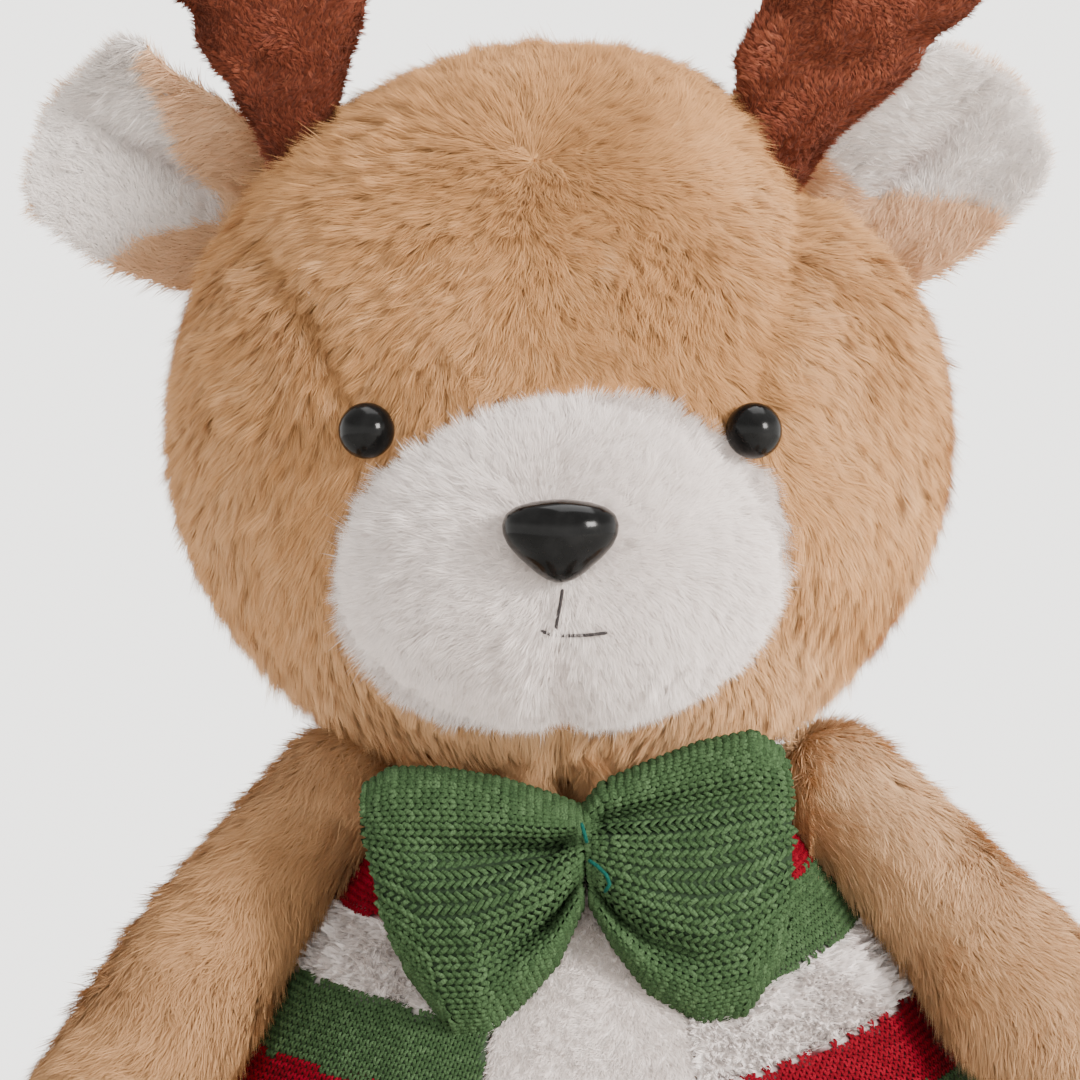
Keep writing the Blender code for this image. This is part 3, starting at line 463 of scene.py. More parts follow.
# %% [markdown]
# Tens of thousands of small shapes are too many for a bmesh, which handles them one by one. A
# mesh also takes whole arrays, so all strands of a piece are written at once. Each has the same
# few corners and faces, and only the numbers differ.

# %% Many small shapes in one mesh
RIBBON_TONES = (0.02, 0.98)
RIBBON_TONE_EDGE = 0.004


def repeated(name, corners, loops, starts, uvs):
    """One mesh of many alike shapes. Loops and starts are those of one of them."""
    count, size = corners.shape[:2]
    every = np.arange(count)[:, None]
    mesh = bpy.data.meshes.new(name)
    mesh.vertices.add(count * size)
    mesh.vertices.foreach_set("co", corners.ravel())
    mesh.loops.add(count * len(loops))
    mesh.loops.foreach_set("vertex_index", (every * size + loops).ravel().astype(np.int32))
    mesh.polygons.add(count * len(starts))
    mesh.polygons.foreach_set("loop_start", (every * len(loops) + starts).ravel().astype(np.int32))
    mesh.update(calc_edges=True)
    mesh.uv_layers.new(name="OFBake").uv.foreach_set("vector", uvs.ravel())
    return stand(name, mesh)


def ribbons(name, paths, sides, widths, tones):
    """One mesh of ribbons, through rings of points with a half width each, and a tip."""
    count, rings = len(tones), len(paths) - 1
    rows = []
    for path, half in zip(paths[:-1], widths):
        rows += [path - sides * half[:, None], path + sides * half[:, None]]
    corners = np.stack(rows + [paths[-1]], axis=1)
    size = 2 * rings + 1
    quads = [[2 * k, 2 * k + 1, 2 * k + 3, 2 * k + 2] for k in range(rings - 1)]
    loops = np.array([index for quad in quads for index in quad] + [size - 3, size - 2, size - 1])
    starts = np.array([4 * k for k in range(rings)])
    across = np.where(loops % 2 == 0, -RIBBON_TONE_EDGE, RIBBON_TONE_EDGE) * (loops < size - 1)
    uvs = np.empty((count, len(loops), 2))
    uvs[:, :, 0] = np.clip(tones, *RIBBON_TONES)[:, None] + across
    uvs[:, :, 1] = np.minimum(loops // 2 / rings, 1.0)
    return repeated(name, corners, loops, starts, uvs)


print("ribbons ready")

# %% [markdown]
# Real pile isn't random. It is brushed one way, the brush leaves drifts, and static pulls
# neighbours into tufts. So a strand's direction is a flow, plus a drift that changes slowly
# over the surface, and its tip leans towards the tip of the tuft that it belongs to. Length,
# width and tone vary a little too, some by strand, some by tuft and some by patch.

# %% Pile
MOST_TRIANGLES = 190000
LENGTH_SPREAD = (0.78, 1.12)
WIDTH_SPREAD = (0.75, 1.2)
RISE_SPREAD = 0.25
TIP_SHORT = 0.12
TIP_THIN = 0.55
ROLLED_SHARE = 0.1
ROLLED_MORE = 4.0
TUFT_TONE = 0.8
PATCH_TONE = 0.8
PATCH_SIZE = 0.03
OFF_FLOOR = 0.0004


def pile(name, surface, body, slot, material, flow, kind, seed, length=None, tone=None, keep=None):
    """Strands rooted on a surface. Flow gives the direction that they are brushed in."""
    rng = np.random.default_rng(seed)
    roots, normals = scatter(surface, kind["density"], rng)
    if keep is not None:
        kept = keep(roots, normals)
        roots, normals = roots[kept], normals[kept]
    count = len(roots)
    long = kind["length"] * rng.uniform(*LENGTH_SPREAD, count)
    if length is not None:
        long *= length(roots)
    brushed = flow(roots, normals)
    brushed = unit(brushed - normals * (brushed * normals).sum(axis=1, keepdims=True))
    middle = tufts(roots, 1 / kind["in_tuft"], rng)
    turn = kind["drift"] * ripple(roots, kind["drift_size"], seed)
    turn += kind["tuft_turn"] * rng.normal(size=count)[middle] + kind["stray"] * rng.normal(size=count)
    brushed = brushed * np.cos(turn)[:, None] + np.cross(normals, brushed) * np.sin(turn)[:, None]
    rise = RISE_SPREAD * rng.normal(size=count) + RISE_SPREAD * rng.normal(size=count)[middle]
    rise = kind["rise"] * np.exp(rise)
    rings = kind["rings"]
    paths = []
    for ring in range(rings + 1):
        at = ring / rings
        out = normals * (rise * (1 - (1 - at) ** 2))[:, None]
        here = roots + long[:, None] * (brushed * at * (1 - TIP_SHORT * at * at) + out)
        here[:, 2] -= long * kind["hang"] * at * at * np.clip(-normals[:, 2], 0, 1)
        here = here + (here[middle] - here) * kind["pull"] * at**1.3
        here[:, 2] = np.maximum(here[:, 2], OFF_FLOOR)
        paths.append(here)
    sides = unit(np.cross(paths[-1] - paths[0], normals))
    roll = kind["roll"] * rng.normal(size=count)
    roll *= np.where(rng.random(count) < ROLLED_SHARE, ROLLED_MORE, 1.0)
    sides = sides * np.cos(roll)[:, None] + normals * np.sin(roll)[:, None]
    thick = kind["width"] / 2 * rng.uniform(*WIDTH_SPREAD, count)
    widths = [thick * (1 - TIP_THIN * (ring / rings) ** 2) for ring in range(rings)]
    tones = rng.normal(size=count) + TUFT_TONE * rng.normal(size=count)[middle]
    tones = 0.5 + kind["tone"] * (tones + PATCH_TONE * ripple(roots, PATCH_SIZE, seed + 1))
    if tone is not None:
        tones += tone(roots)
    x, y = roots[:, 0], roots[:, 1]
    order = np.argsort(np.arctan2(x - x.mean(), y - y.mean()))
    parts = math.ceil(count * (2 * rings - 1) / MOST_TRIANGLES)
    made = []
    for number, chosen in enumerate(np.array_split(order, parts), 1):
        part = ribbons(
            f"{name}_{number}" if parts > 1 else name, [path[chosen] for path in paths], sides[chosen],
            [width[chosen] for width in widths], tones[chosen],
        )
        made.append(dress(part, body, slot, material))
    print(name, count, "strands in", parts, "pieces")
    return made


print("pile ready, at most", MOST_TRIANGLES, "triangles in a piece")

# %% [markdown]
# Each cloth has its own kind of pile. Density is strands on a square millimetre, and length and
# width are metres. Where the pile lies out of sight, wide strands do the work of many fine ones.

# %% Kinds of pile
LONG = {
    "density": 10.8, "length": 0.0068, "width": 0.00022, "rise": 0.36, "rings": 1, "roll": 0.3,
    "in_tuft": 45, "pull": 0.32, "tuft_turn": 0.22, "drift": 0.5, "drift_size": 0.024,
    "stray": 0.24, "tone": 0.07, "hang": 0.5,
}
LIMB = dict(
    LONG, density=7.0, width=0.00027, pull=0.14, tuft_turn=0.12, drift=0.35, tone=0.045, rise=0.3,
)
BACK = dict(LONG, density=3.0, length=0.0072, width=0.00040, pull=0.25)
LEG = dict(BACK, density=3.4, width=0.00038, pull=0.12, tuft_turn=0.10, drift=0.3, tone=0.035)
SOFT = dict(
    LONG, density=16.5, length=0.0046, width=0.000168, rise=0.55, in_tuft=35, pull=0.28,
    stray=0.5, tone=0.03, hang=0.1,
)
DOWN = dict(SOFT, density=15.0, length=0.0034, width=0.00019, rise=0.6, in_tuft=16)
SHORT = dict(
    LONG, density=16.0, length=0.0012, width=0.00017, rise=0.9, in_tuft=12, pull=0.5, drift=0.9,
    drift_size=0.012, tuft_turn=0.35, stray=0.3, tone=0.10, hang=0.0,
)
DOWNWARD = straight(0.0, 0.0, -1.0)
print("the longest pile is", LONG["length"] * 1000, "mm")

# %% [markdown]
# The head is an egg on its broad end. Its backing lies a few millimetres under the pile, and
# where two panels are sewn the backing is drawn in, so the pile parts along the seam. A dent
# near a seam fades with distance as a bell curve.

# %% Seams of the head
PILE_LIE = 0.0030
HEAD_DROP = 0.0718
SEAM_DEPTH = 0.0028
SEAM_WIDTH = 0.0032
CHIN_SEAM_WIDTH = 0.0012
CHIN_SEAM_SHARE = 0.4
SKIN_THICK = 0.0024
FAR_AWAY = 1.0

low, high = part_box("head_skin")
head_middle = np.array([(low.x + high.x) / 2, (low.y + high.y) / 2, EYE_LINE_HEIGHT])
head_radii = np.array([(high.x - low.x) / 2, (high.y - low.y) / 2, high.z - EYE_LINE_HEIGHT])
BROW_LEFT = [seen(px, py) for px, py in ((795, 190), (790, 240), (772, 300), (752, 370), (744, 405))]
BROW_RIGHT = [seen(px, py) for px, py in ((275, 245), (300, 290), (332, 345), (352, 385), (368, 405))]
CHIN = [seen(px, py) for px, py in ((565, 700), (566, 745), (570, 800))]


def from_line(points, line):
    """How far points of the face lie from a line drawn on it, seen from the front."""
    flat = points[:, [0, 2]]
    nearest = np.full(len(flat), FAR_AWAY)
    for start, end in zip(line, line[1:]):
        start, run = np.array(start), np.array(end) - np.array(start)
        share = np.clip(((flat - start) @ run) / (run @ run), 0, 1)
        nearest = np.minimum(nearest, np.linalg.norm(flat - start - share[:, None] * run, axis=1))
    return np.where(points[:, 1] < 0, nearest, FAR_AWAY)


def seams_near(points):
    """One on a seam of the head, and none a few millimetres beside it."""
    brows = np.minimum(from_line(points, BROW_LEFT), from_line(points, BROW_RIGHT))
    chin = bell(from_line(points, CHIN), CHIN_SEAM_WIDTH)
    return np.maximum(bell(brows, SEAM_WIDTH), CHIN_SEAM_SHARE * chin)


print("the head's middle is at", head_middle.round(4), "and its radii are", head_radii.round(4))

# %% [markdown]
# A ball stretched to three radii is already close to a stuffed head. Two things make it this
# toy's head: a fuller jowl above the bow tie, and a flatter side by the antler at its upper
# left, where the stuffing is packed less. Both are smooth moves of the ball's corners.

# %% Head cloth
JOWL_HEIGHT = 0.177
JOWL_SPREAD = 0.014
JOWL_OUT = np.array([0.0, -0.0055, -0.0040])
FACE_DEPTH = 0.05
FLAT_MIDDLE = seen(557, 330)
FLAT_ANGLE = math.radians(31)
FLAT_SPREAD = math.radians(22)
FLAT_DEPTH = 0.0085
FLAT_FROM = 0.06


def egg(name, middle, radii, drop, inset, across=96, up=60):
    """A ball stretched to its radii, with its own radius below the middle."""
    bm = ball(across, up)
    for vert in bm.verts:
        x, y, z = vert.co
        tall = (radii[2] if z > 0 else drop) - inset
        vert.co = Vector((x * (radii[0] - inset), y * (radii[1] - inset), z * tall))
        vert.co += Vector(middle)
    return put(name, bm)


def flattened(points):
    """The head's upper left, by the antler, is packed flatter than the rest."""
    x, z = points[:, 0] - FLAT_MIDDLE[0], points[:, 2] - FLAT_MIDDLE[1]
    angle, far = np.arctan2(z, x), np.hypot(x, z)
    depth = FLAT_DEPTH * bell(angle - FLAT_ANGLE, FLAT_SPREAD) * np.clip(far / FLAT_FROM, 0, 1) ** 2
    return points - np.stack([x, 0 * x, z], axis=1) / np.maximum(far, SMALL)[:, None] * depth[:, None]


head = egg("head_cloth", head_middle, head_radii, HEAD_DROP, PILE_LIE)
places = flattened(corners_of(head))
low_front = bell(places[:, 2] - JOWL_HEIGHT, JOWL_SPREAD) * np.clip(-places[:, 1] / FACE_DEPTH, 0, 1)
places += low_front[:, None] * JOWL_OUT
outward = unit(places - head_middle)
move_corners(head, places - outward * (SEAM_DEPTH * seams_near(places))[:, None])
dress(head, "head", "tan_plush", TAN_BACKING, "head_skin")
stuffing = egg("head_fibre", head_middle, head_radii, HEAD_DROP, PILE_LIE + SKIN_THICK, 48, 30)
move_corners(stuffing, flattened(corners_of(stuffing)))
FIBRE = backing("stuffing_fibre", (0.85, 0.85, 0.83), 300.0)
dress(stuffing, "head", "stuffing", FIBRE, "head_stuffing")
print("head cloth", triangles(head), "triangles")

# %% [markdown]
# The muzzle is a white cap on the head's front, broader than tall. Its cloth is a second egg
# that pokes out of the head, with a small cleft at the chin. White pile grows only inside the
# outline that the photograph shows, so that outline is kept as a list of its pixels.

# %% Muzzle
MUZZLE_CENTRE = (562, 565)
MUZZLE_OUTLINE = (
    (786, 510), (765, 472), (740, 450), (700, 422), (665, 400), (620, 393), (560, 398),
    (520, 410), (470, 432), (420, 457), (385, 478), (352, 518), (337, 562), (338, 610),
    (352, 650), (382, 690), (420, 713), (470, 727), (520, 727), (552, 716), (572, 716),
    (600, 726), (650, 720), (700, 693), (745, 648), (774, 605), (788, 560),
)
RIM_INSIDE = 0.0022
MUZZLE_RISE = 1.28
MUZZLE_OUT = 0.042
MUZZLE_LIE = 0.0034
CLEFT_IN = np.array([0, 0.0016, 0.0010])
CLEFT_WIDTH = 0.0035
CLEFT_TOP = 0.2
centre = np.array(seen(*MUZZLE_CENTRE))
rim = np.array([seen(*point) for point in MUZZLE_OUTLINE]) - centre
rim_angles = np.arctan2(rim[:, 1], rim[:, 0])
rim_far = np.hypot(rim[:, 0], rim[:, 1])
rim_order = np.argsort(rim_angles)


def white_face(points):
    """How far points lie inside the white outline, as the photograph's view shows it."""
    x, z = points[:, 0] - centre[0], points[:, 2] - centre[1]
    reach = np.interp(np.arctan2(z, x), rim_angles[rim_order], rim_far[rim_order], period=math.tau)
    return np.where(points[:, 1] < 0, reach - np.hypot(x, z), -1.0)


low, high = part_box("muzzle_skin")
muzzle_middle = np.array([(low.x + high.x) / 2, low.y + MUZZLE_OUT, (low.z + high.z) / 2])
muzzle_radii = np.array([(high.x - low.x) / 2, MUZZLE_OUT, (high.z - low.z) / 2])
muzzle_tall = muzzle_radii * [1.0, 1.0, MUZZLE_RISE]
muzzle = egg("muzzle_cloth", muzzle_middle, muzzle_tall, muzzle_radii[2], MUZZLE_LIE, 72, 44)
places = corners_of(muzzle)
cleft = bell(places[:, 0] - head_middle[0], CLEFT_WIDTH) * (places[:, 2] < CLEFT_TOP)
move_corners(muzzle, places + CLEFT_IN * cleft[:, None])
dress(muzzle, "head", "white_plush", WHITE_BACKING, "muzzle_skin")


def inside_muzzle(points, grow=0.0):
    radii = np.where(points[:, 2:] > muzzle_middle[2], muzzle_tall, muzzle_radii) + grow
    return (((points - muzzle_middle) / radii) ** 2).sum(axis=1) < 1


def inside_head(points, grow=0.0):
    radii = np.where(points[:, 2:] > EYE_LINE_HEIGHT, head_radii[2], HEAD_DROP)
    radii = np.concatenate([np.tile(head_radii[:2], (len(points), 1)), radii], axis=1) + grow
    return (((points - head_middle) / radii) ** 2).sum(axis=1) < 1


print("muzzle cloth", triangles(muzzle), "triangles")

# %% [markdown]
# The head's pile is brushed away from a point high on the forehead: over the crown behind it,
# down the forehead in front, and then down the cheeks. Under the chin it is combed forward,
# so that it closes over the gap behind the bow tie.

# %% How the head is brushed
whorl_x, whorl_z = seen(535, 165)
WHORL = np.array([whorl_x, -0.052, whorl_z])
DOWN_FROM_WHORL = 0.11
CHEEKS_OUT = 0.35
CHIN_HEIGHT = 0.192
CHIN_FORWARD = -0.6
CHIN_FADE = 0.02
EYE_RADIUS = 0.0056
eyes = {}
for name, side in SIDES:
    low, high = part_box(f"eye_{name}")
    x = high.x - EYE_RADIUS if side > 0 else low.x + EYE_RADIUS
    eyes[name] = np.array([x, low.y + EYE_RADIUS, (low.z + high.z) / 2])


def head_flow(points, normals):
    away = unit(points - WHORL)
    far = np.clip(np.linalg.norm(points - WHORL, axis=1) / DOWN_FROM_WHORL, 0, 1)[:, None]
    down = np.array([0.0, 0.0, -1.0])
    under = np.clip((CHIN_HEIGHT - points[:, 2:]) / CHIN_FADE, 0, 1) * (points[:, 1:2] < 0)
    out = np.array([CHEEKS_OUT, 0.0, 0.0]) * np.sign(points[:, :1] - head_middle[0]) * (1 - under)
    return away * (1.15 - far) + (down + out) * far + under * [0.0, CHIN_FORWARD, 0.0]


print("eyes at", {name: eye.round(4).tolist() for name, eye in eyes.items()})

# %% [markdown]
# Length and shade follow places too. The pile is clipped short beside the muzzle and round the
# eyes, and short at the seams and the whorl, where real pile parts and shows its roots; there it
# is also painted darker, a painted shade. Under the chin it is longer. The jowl catches the light
# and is painted lighter, and the brow and crown are painted a little darker, a painted shade.

# %% Length and shade on the head
WHORL_SHORT, WHORL_WIDTH = 0.35, 0.016
# painted shade at the whorl: how much darker, and how wide
WHORL_SHADE, WHORL_SHADE_WIDTH = 0.20, 0.018
# seams: how much shorter the pile is, and how much painted shade it gets
SEAM_SHORT, SEAM_SHADE = 0.4, 0.22
EYE_SHORT, EYE_CLIPPED = 0.3, 0.0095
CHIN_LONG, CHIN_WIDTH, CHIN_LONG_FADE = 0.6, 0.014, 0.012
CLIPPED_BELOW = 0.215
CLIPPED_SHARE = 0.45
# painted shade on the brow and the crown
BROW_SHADE, BROW_HALF_WIDTH, BROW_HEIGHT = 0.1, 0.045, 0.228
CROWN_SHADE, CROWN_HEIGHT = 0.12, 0.285
# painted light on the jowl
JOWL_PAINTED_LIGHT, JOWL_TOP, JOWL_FADE = 0.38, 0.205, 0.03
TONE_FADE = 0.02
HEAD_LIGHT = 0.1


def head_length(points):
    share = 1 - SEAM_SHORT * seams_near(points)
    clipped = np.clip(CLIPPED_SHARE - white_face(points) * 60, CLIPPED_SHARE, 1.0)
    share *= np.where(points[:, 2] > CLIPPED_BELOW, 1.0, clipped)
    share *= 1 - WHORL_SHORT * bell(np.linalg.norm(points - WHORL, axis=1), WHORL_WIDTH)
    for eye in eyes.values():
        share *= 1 - EYE_SHORT * bell(np.linalg.norm(points - eye, axis=1), EYE_CLIPPED)
    chin = bell(points[:, 0] - head_middle[0], CHIN_WIDTH)
    chin = chin * np.clip((CHIN_HEIGHT - points[:, 2]) / CHIN_LONG_FADE, 0, 1)
    return share * (1 + CHIN_LONG * chin)


# painted shade and painted light on the head's front, over a small even tone
def head_shade_and_tone(points):
    # painted shade: darker at the whorl, where the pile parts
    whorl = WHORL_SHADE * bell(np.linalg.norm((points - WHORL) * [0.7, 1, 1.3], axis=1), WHORL_SHADE_WIDTH)
    # painted shade: the brow and the crown are a little darker
    brow = np.exp(-(((points[:, 0] - head_middle[0]) / BROW_HALF_WIDTH) ** 4))
    brow = brow * np.clip((points[:, 2] - BROW_HEIGHT) / TONE_FADE, 0, 1)
    crown = np.clip((points[:, 2] - CROWN_HEIGHT) / TONE_FADE, 0, 1)
    # painted light: the jowl is lighter
    jowl = np.clip((JOWL_TOP - points[:, 2]) / JOWL_FADE, 0, 1)
    tone = HEAD_LIGHT - whorl - BROW_SHADE * brow - CROWN_SHADE * crown
    # painted light on the jowl, and painted shade along the seams
    return tone + JOWL_PAINTED_LIGHT * jowl - SEAM_SHADE * seams_near(points)


print("the whorl's pile is", round((1 - WHORL_SHORT) * LONG["length"] * 1000, 1), "mm long")

# %% [markdown]
# Tan strands are left out where the white muzzle or a bead sits, and above the muzzle also
# where their tips would reach over the white. The back of the head gets the plainer pile.

# %% Head pile
HEAD_FRONT = 0.016
FRONT_OVER_BACK = 0.006
TIP_REACH = 0.0055
TIP_ON_WHITE = 0.0005
UNDER_MUZZLE = -0.001
EYE_HOLE = EYE_RADIUS - 0.0004


def near_eye(points):
    return np.minimum.reduce([np.linalg.norm(points - eye, axis=1) for eye in eyes.values()]) < EYE_HOLE


def head_keep(points, normals):
    tips = points + unit(head_flow(points, normals)) * TIP_REACH
    over_white = (white_face(tips) > TIP_ON_WHITE) & (points[:, 2] > CLIPPED_BELOW)
    white = (white_face(points) > RIM_INSIDE) | over_white
    front = points[:, 1] < HEAD_FRONT
    return front & ~white & ~inside_muzzle(points, UNDER_MUZZLE) & ~near_eye(points)


pile("head_front_pile", head, "head", "tan_plush", TAN_PILE, head_flow, LONG, 11,
     head_length, head_shade_and_tone, head_keep)
pile("head_back_pile", head, "head", "tan_plush", TAN_PILE, head_flow, BACK, 12,
     keep=lambda p, n: p[:, 1] > HEAD_FRONT - FRONT_OVER_BACK)

# %% [markdown]
# The white pile is softer and denser. It is brushed away from the nose, and hangs at the chin.
# Two cloths carry it: the muzzle's own, and the ring of the head just round it, since the white
# outline reaches a little further than the cap.

# %% Muzzle pile
NOSE_BEHIND = 0.0068
NOSE_HOLE = 0.0066
NOSE_CLIPPED = 0.03
HANGS_BELOW = 0.225
HANG = np.array([0.0, 0.15, -0.30])
CHIN_TOP = 0.196
CHIN_SHORT = 0.8
# painted shade down the cleft at the chin: how much darker, how wide and how high
CLEFT_SHADE = -0.3
CLEFT_SHADE_WIDTH = 0.0016
CLEFT_SHADE_TOP = 0.198
INTO_HEAD = -0.006
INTO_MUZZLE = -0.0038
low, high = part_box("nose")
nose_middle = np.array([(low.x + high.x) / 2, low.y + NOSE_BEHIND, (low.z + high.z) / 2])


def muzzle_flow(points, normals):
    away = unit(points - nose_middle)
    return away + HANG * (points[:, 2:] < HANGS_BELOW)


def muzzle_length(points):
    near = np.linalg.norm(points - nose_middle, axis=1)
    from_nose = 0.5 + 0.5 * np.clip(near / NOSE_CLIPPED, 0, 1)
    return from_nose * np.where(points[:, 2] < CHIN_TOP, CHIN_SHORT, 1.0)


def muzzle_keep(points, normals):
    off_nose = np.linalg.norm((points - nose_middle) * [0.7, 0.5, 1.0], axis=1) > NOSE_HOLE
    return ~inside_head(points, INTO_HEAD) & off_nose & (white_face(points) > RIM_INSIDE - 0.001)


def muzzle_rim_keep(points, normals):
    white = white_face(points) > RIM_INSIDE
    return white & ~inside_muzzle(points, INTO_MUZZLE) & ~near_eye(points)


# painted shade: the white pile is darker down the cleft
def muzzle_cleft_shade(points):
    cleft = bell(points[:, 0] - head_middle[0], CLEFT_SHADE_WIDTH)
    return CLEFT_SHADE * cleft * (points[:, 2] < CLEFT_SHADE_TOP)


pile("muzzle_pile", muzzle, "head", "white_plush", WHITE_PILE, muzzle_flow, SOFT, 21,
     muzzle_length, muzzle_cleft_shade, muzzle_keep)
pile("muzzle_rim_pile", head, "head", "white_plush", WHITE_PILE, muzzle_flow, SOFT, 22,
     muzzle_length, keep=muzzle_rim_keep)

# %% [markdown]
# Arms and legs are stuffed tubes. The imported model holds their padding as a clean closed
# shape, so the cloth is that shape: remeshed into even small faces, smoothed, and grown outward
# along its normals until it lies just under the pile.

# %% Cloth of a limb
LIMB_GROW = 0.0044
LIMB_CELL = 0.0022
LIMB_ROUNDS = 8
PAW_DEPTH = 0.012


def remeshed(piece, cell, rounds):
    """A piece in even small faces, smoothed a number of times. Its modifiers are applied."""
    soft = piece.modifiers.new("soft", "REMESH")
    soft.mode, soft.voxel_size = "VOXEL", cell
    smooth = piece.modifiers.new("smooth", "SMOOTH")
    smooth.factor, smooth.iterations = 0.5, rounds
    graph = bpy.context.evaluated_depsgraph_get()
    mesh = bpy.data.meshes.new_from_object(piece.evaluated_get(graph))
    piece.modifiers.clear()
    piece.data = mesh
    mesh.shade_smooth()
    return piece


def limb_cloth(name, node, grow=LIMB_GROW):
    bm = merged(node)
    bmesh.ops.recalc_face_normals(bm, faces=bm.faces)
    made = remeshed(put(name, bm), LIMB_CELL, LIMB_ROUNDS)
    bm = bmesh.new()
    bm.from_mesh(made.data)
    bm.normal_update()
    for vert in bm.verts:
        vert.co += vert.normal * grow
    bm.to_mesh(made.data)
    bm.free()
    return made


joints = {joint["name"]: joint for joint in frame["record"]["behaviour"]["joints"]}


def joint_place(name):
    return np.array(joints[name]["pos_m"])


def way(start, end):
    return unit((np.array(end) - start)[None])[0]


def limb_end(node, start):
    """The middle of the part of a solid that lies furthest from its joint."""
    places = np.array([vert.co for vert in frame["nodes"][node].data.vertices])
    far = np.linalg.norm(places - start, axis=1)
    return places[far > far.max() - PAW_DEPTH].mean(axis=0)


print("the joints are", sorted(joints))

# %% [markdown]
# The shoulders of the real toy bulge above the seam, and the arm swells where it is pressed
# against the waistcoat, so some corners move a few millimetres out. The pile runs down the arm
# and fans out over the shoulder's top. A leg's pile runs straight from the hip to the foot.

# %% Arms and legs
ARM_GROW = LIMB_GROW + 0.0012
SHOULDER_SWELL = 0.007
SHOULDER_SPREAD = 0.026
SHOULDER_RISE = [0, 0, 0.012]
ARM_SIDE = (0.076, 0.119)
ARM_SIDE_SWELL = 0.003
ARM_SIDE_SPREAD = 0.018
# painted light and shade: the left arm, on the lamp's side, is lighter and the right arm darker
ARM_LIGHT_AND_SHADE = {"left": 0.12, "right": -0.18}
# painted light on the shoulder, where it lies in shade under the jaw
SHOULDER_PAINTED_LIGHT = 0.35
SHOULDER_LIGHT_SPREAD = 0.032
SHOULDER_LIGHT_RISE = [0, 0, 0.01]
for name, side in SIDES:
    arm = limb_cloth(f"arm_{name}_cloth", f"arm_{name}_stuffing", ARM_GROW)
    shoulder = joint_place(f"arm_{name}_swing")
    places = corners_of(arm)
    swell = bell(np.linalg.norm(places - shoulder - SHOULDER_RISE, axis=1), SHOULDER_SPREAD)[:, None]
    places += swell * np.array([-side * 0.8, -0.2, 0.8]) * SHOULDER_SWELL
    beside = np.hypot(places[:, 0] - side * ARM_SIDE[0], places[:, 2] - ARM_SIDE[1])
    places[:, 0] -= side * ARM_SIDE_SWELL * bell(beside, ARM_SIDE_SPREAD)
    move_corners(arm, places)
    dress(arm, f"arm_{name}", "tan_plush", TAN_BACKING, f"arm_{name}_skin")
    down = way(shoulder, limb_end(f"arm_{name}_skin", shoulder))

    def arm_flow(points, normals, down=down, side=side):
        """Down the arm, and over the shoulder's top outward and forward."""
        return down + np.clip(-(normals @ down), 0, 1)[:, None] * [side * 0.9, -0.9, -0.3]

    def arm_painted_light(points, top=shoulder, even=ARM_LIGHT_AND_SHADE[name]):
        """Painted light on the shoulder, which lies in shade under the jaw, over the side's painted light
        or shade.
        """
        from_top = np.linalg.norm(points - top - SHOULDER_LIGHT_RISE, axis=1)
        return even + SHOULDER_PAINTED_LIGHT * bell(from_top, SHOULDER_LIGHT_SPREAD)

    pile(f"arm_{name}_pile", arm, f"arm_{name}", "tan_plush", LIGHTENED_LIMB_PILE, arm_flow, LIMB, 31 + side,
         tone=arm_painted_light)

    leg = limb_cloth(f"leg_{name}_cloth", f"leg_{name}_stuffing")
    dress(leg, f"leg_{name}", "tan_plush", TAN_BACKING, f"leg_{name}_skin")
    hip = joint_place(f"leg_{name}_lift")
    down = way(hip, limb_end(f"leg_{name}_skin", hip))
    pile(f"leg_{name}_pile", leg, f"leg_{name}", "tan_plush", LIGHTENED_LIMB_PILE, straight(*down), LEG, 41 + side)

# %% [markdown]
# A sole closes each leg: a round pad, domed a little by the stuffing behind it, in a shorter
# pile. It is a ball pressed flat along the leg.

# %% Soles
SOLE_THICK = 0.0032
SOLE_SUNK = 0.4
SOLE_PILE = dict(DOWN, density=8.0, length=0.0022)
for name, side in SIDES:
    node = f"leg_{name}_sole"
    hip = joint_place(f"leg_{name}_lift")
    middle = box_middle(node)
    facing = Vector(way(hip, limb_end(f"leg_{name}_skin", hip)))
    rim = np.array([vert.co for vert in frame["nodes"][node].data.vertices]) - middle
    radius = np.linalg.norm(rim - np.outer(rim @ np.array(facing), facing), axis=1).max()
    bm = ball(48, 16)
    bmesh.ops.scale(bm, verts=bm.verts, vec=(radius, radius, SOLE_THICK))
    sole = put(f"sole_{name}", bm)
    turn = facing.to_track_quat("Z", "Y").to_matrix().to_4x4()
    sole.data.transform(Matrix.Translation(Vector(middle) - facing * SOLE_THICK * SOLE_SUNK) @ turn)
    dress(sole, f"leg_{name}", "tan_plush", TAN_BACKING, node)
    pile(f"sole_{name}_pile", sole, f"leg_{name}", "tan_plush", TAN_PILE, DOWNWARD, SOLE_PILE, 47 + side,
         keep=lambda p, n, facing=np.array(facing): n @ facing > 0)

# %% [markdown]
# The torso is wrapped rather than drawn: every corner of a fine ball slides in from outside
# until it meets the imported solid, and then a little further, to where the backing lies.

# %% Torso cloth
TORSO_MIDDLE = (0.0, 0.0, 0.08)
TORSO_LIE = 0.0028
OUTSIDE = 0.5


def wrapped(name, node, middle, inset, across=96, up=64):
    """A ball shrunk on to a solid, and a little further in."""
    surface = surface_of(merged(node))
    bm = ball(across, up)
    middle = Vector(middle)
    for vert in bm.verts:
        out = vert.co.normalized()
        hit = surface.ray_cast(middle + out * OUTSIDE, -out)[0]
        vert.co = (hit if hit is not None else middle) - out * inset
    soften(bm, 0.5)
    bmesh.ops.recalc_face_normals(bm, faces=bm.faces)
    return put(name, bm)


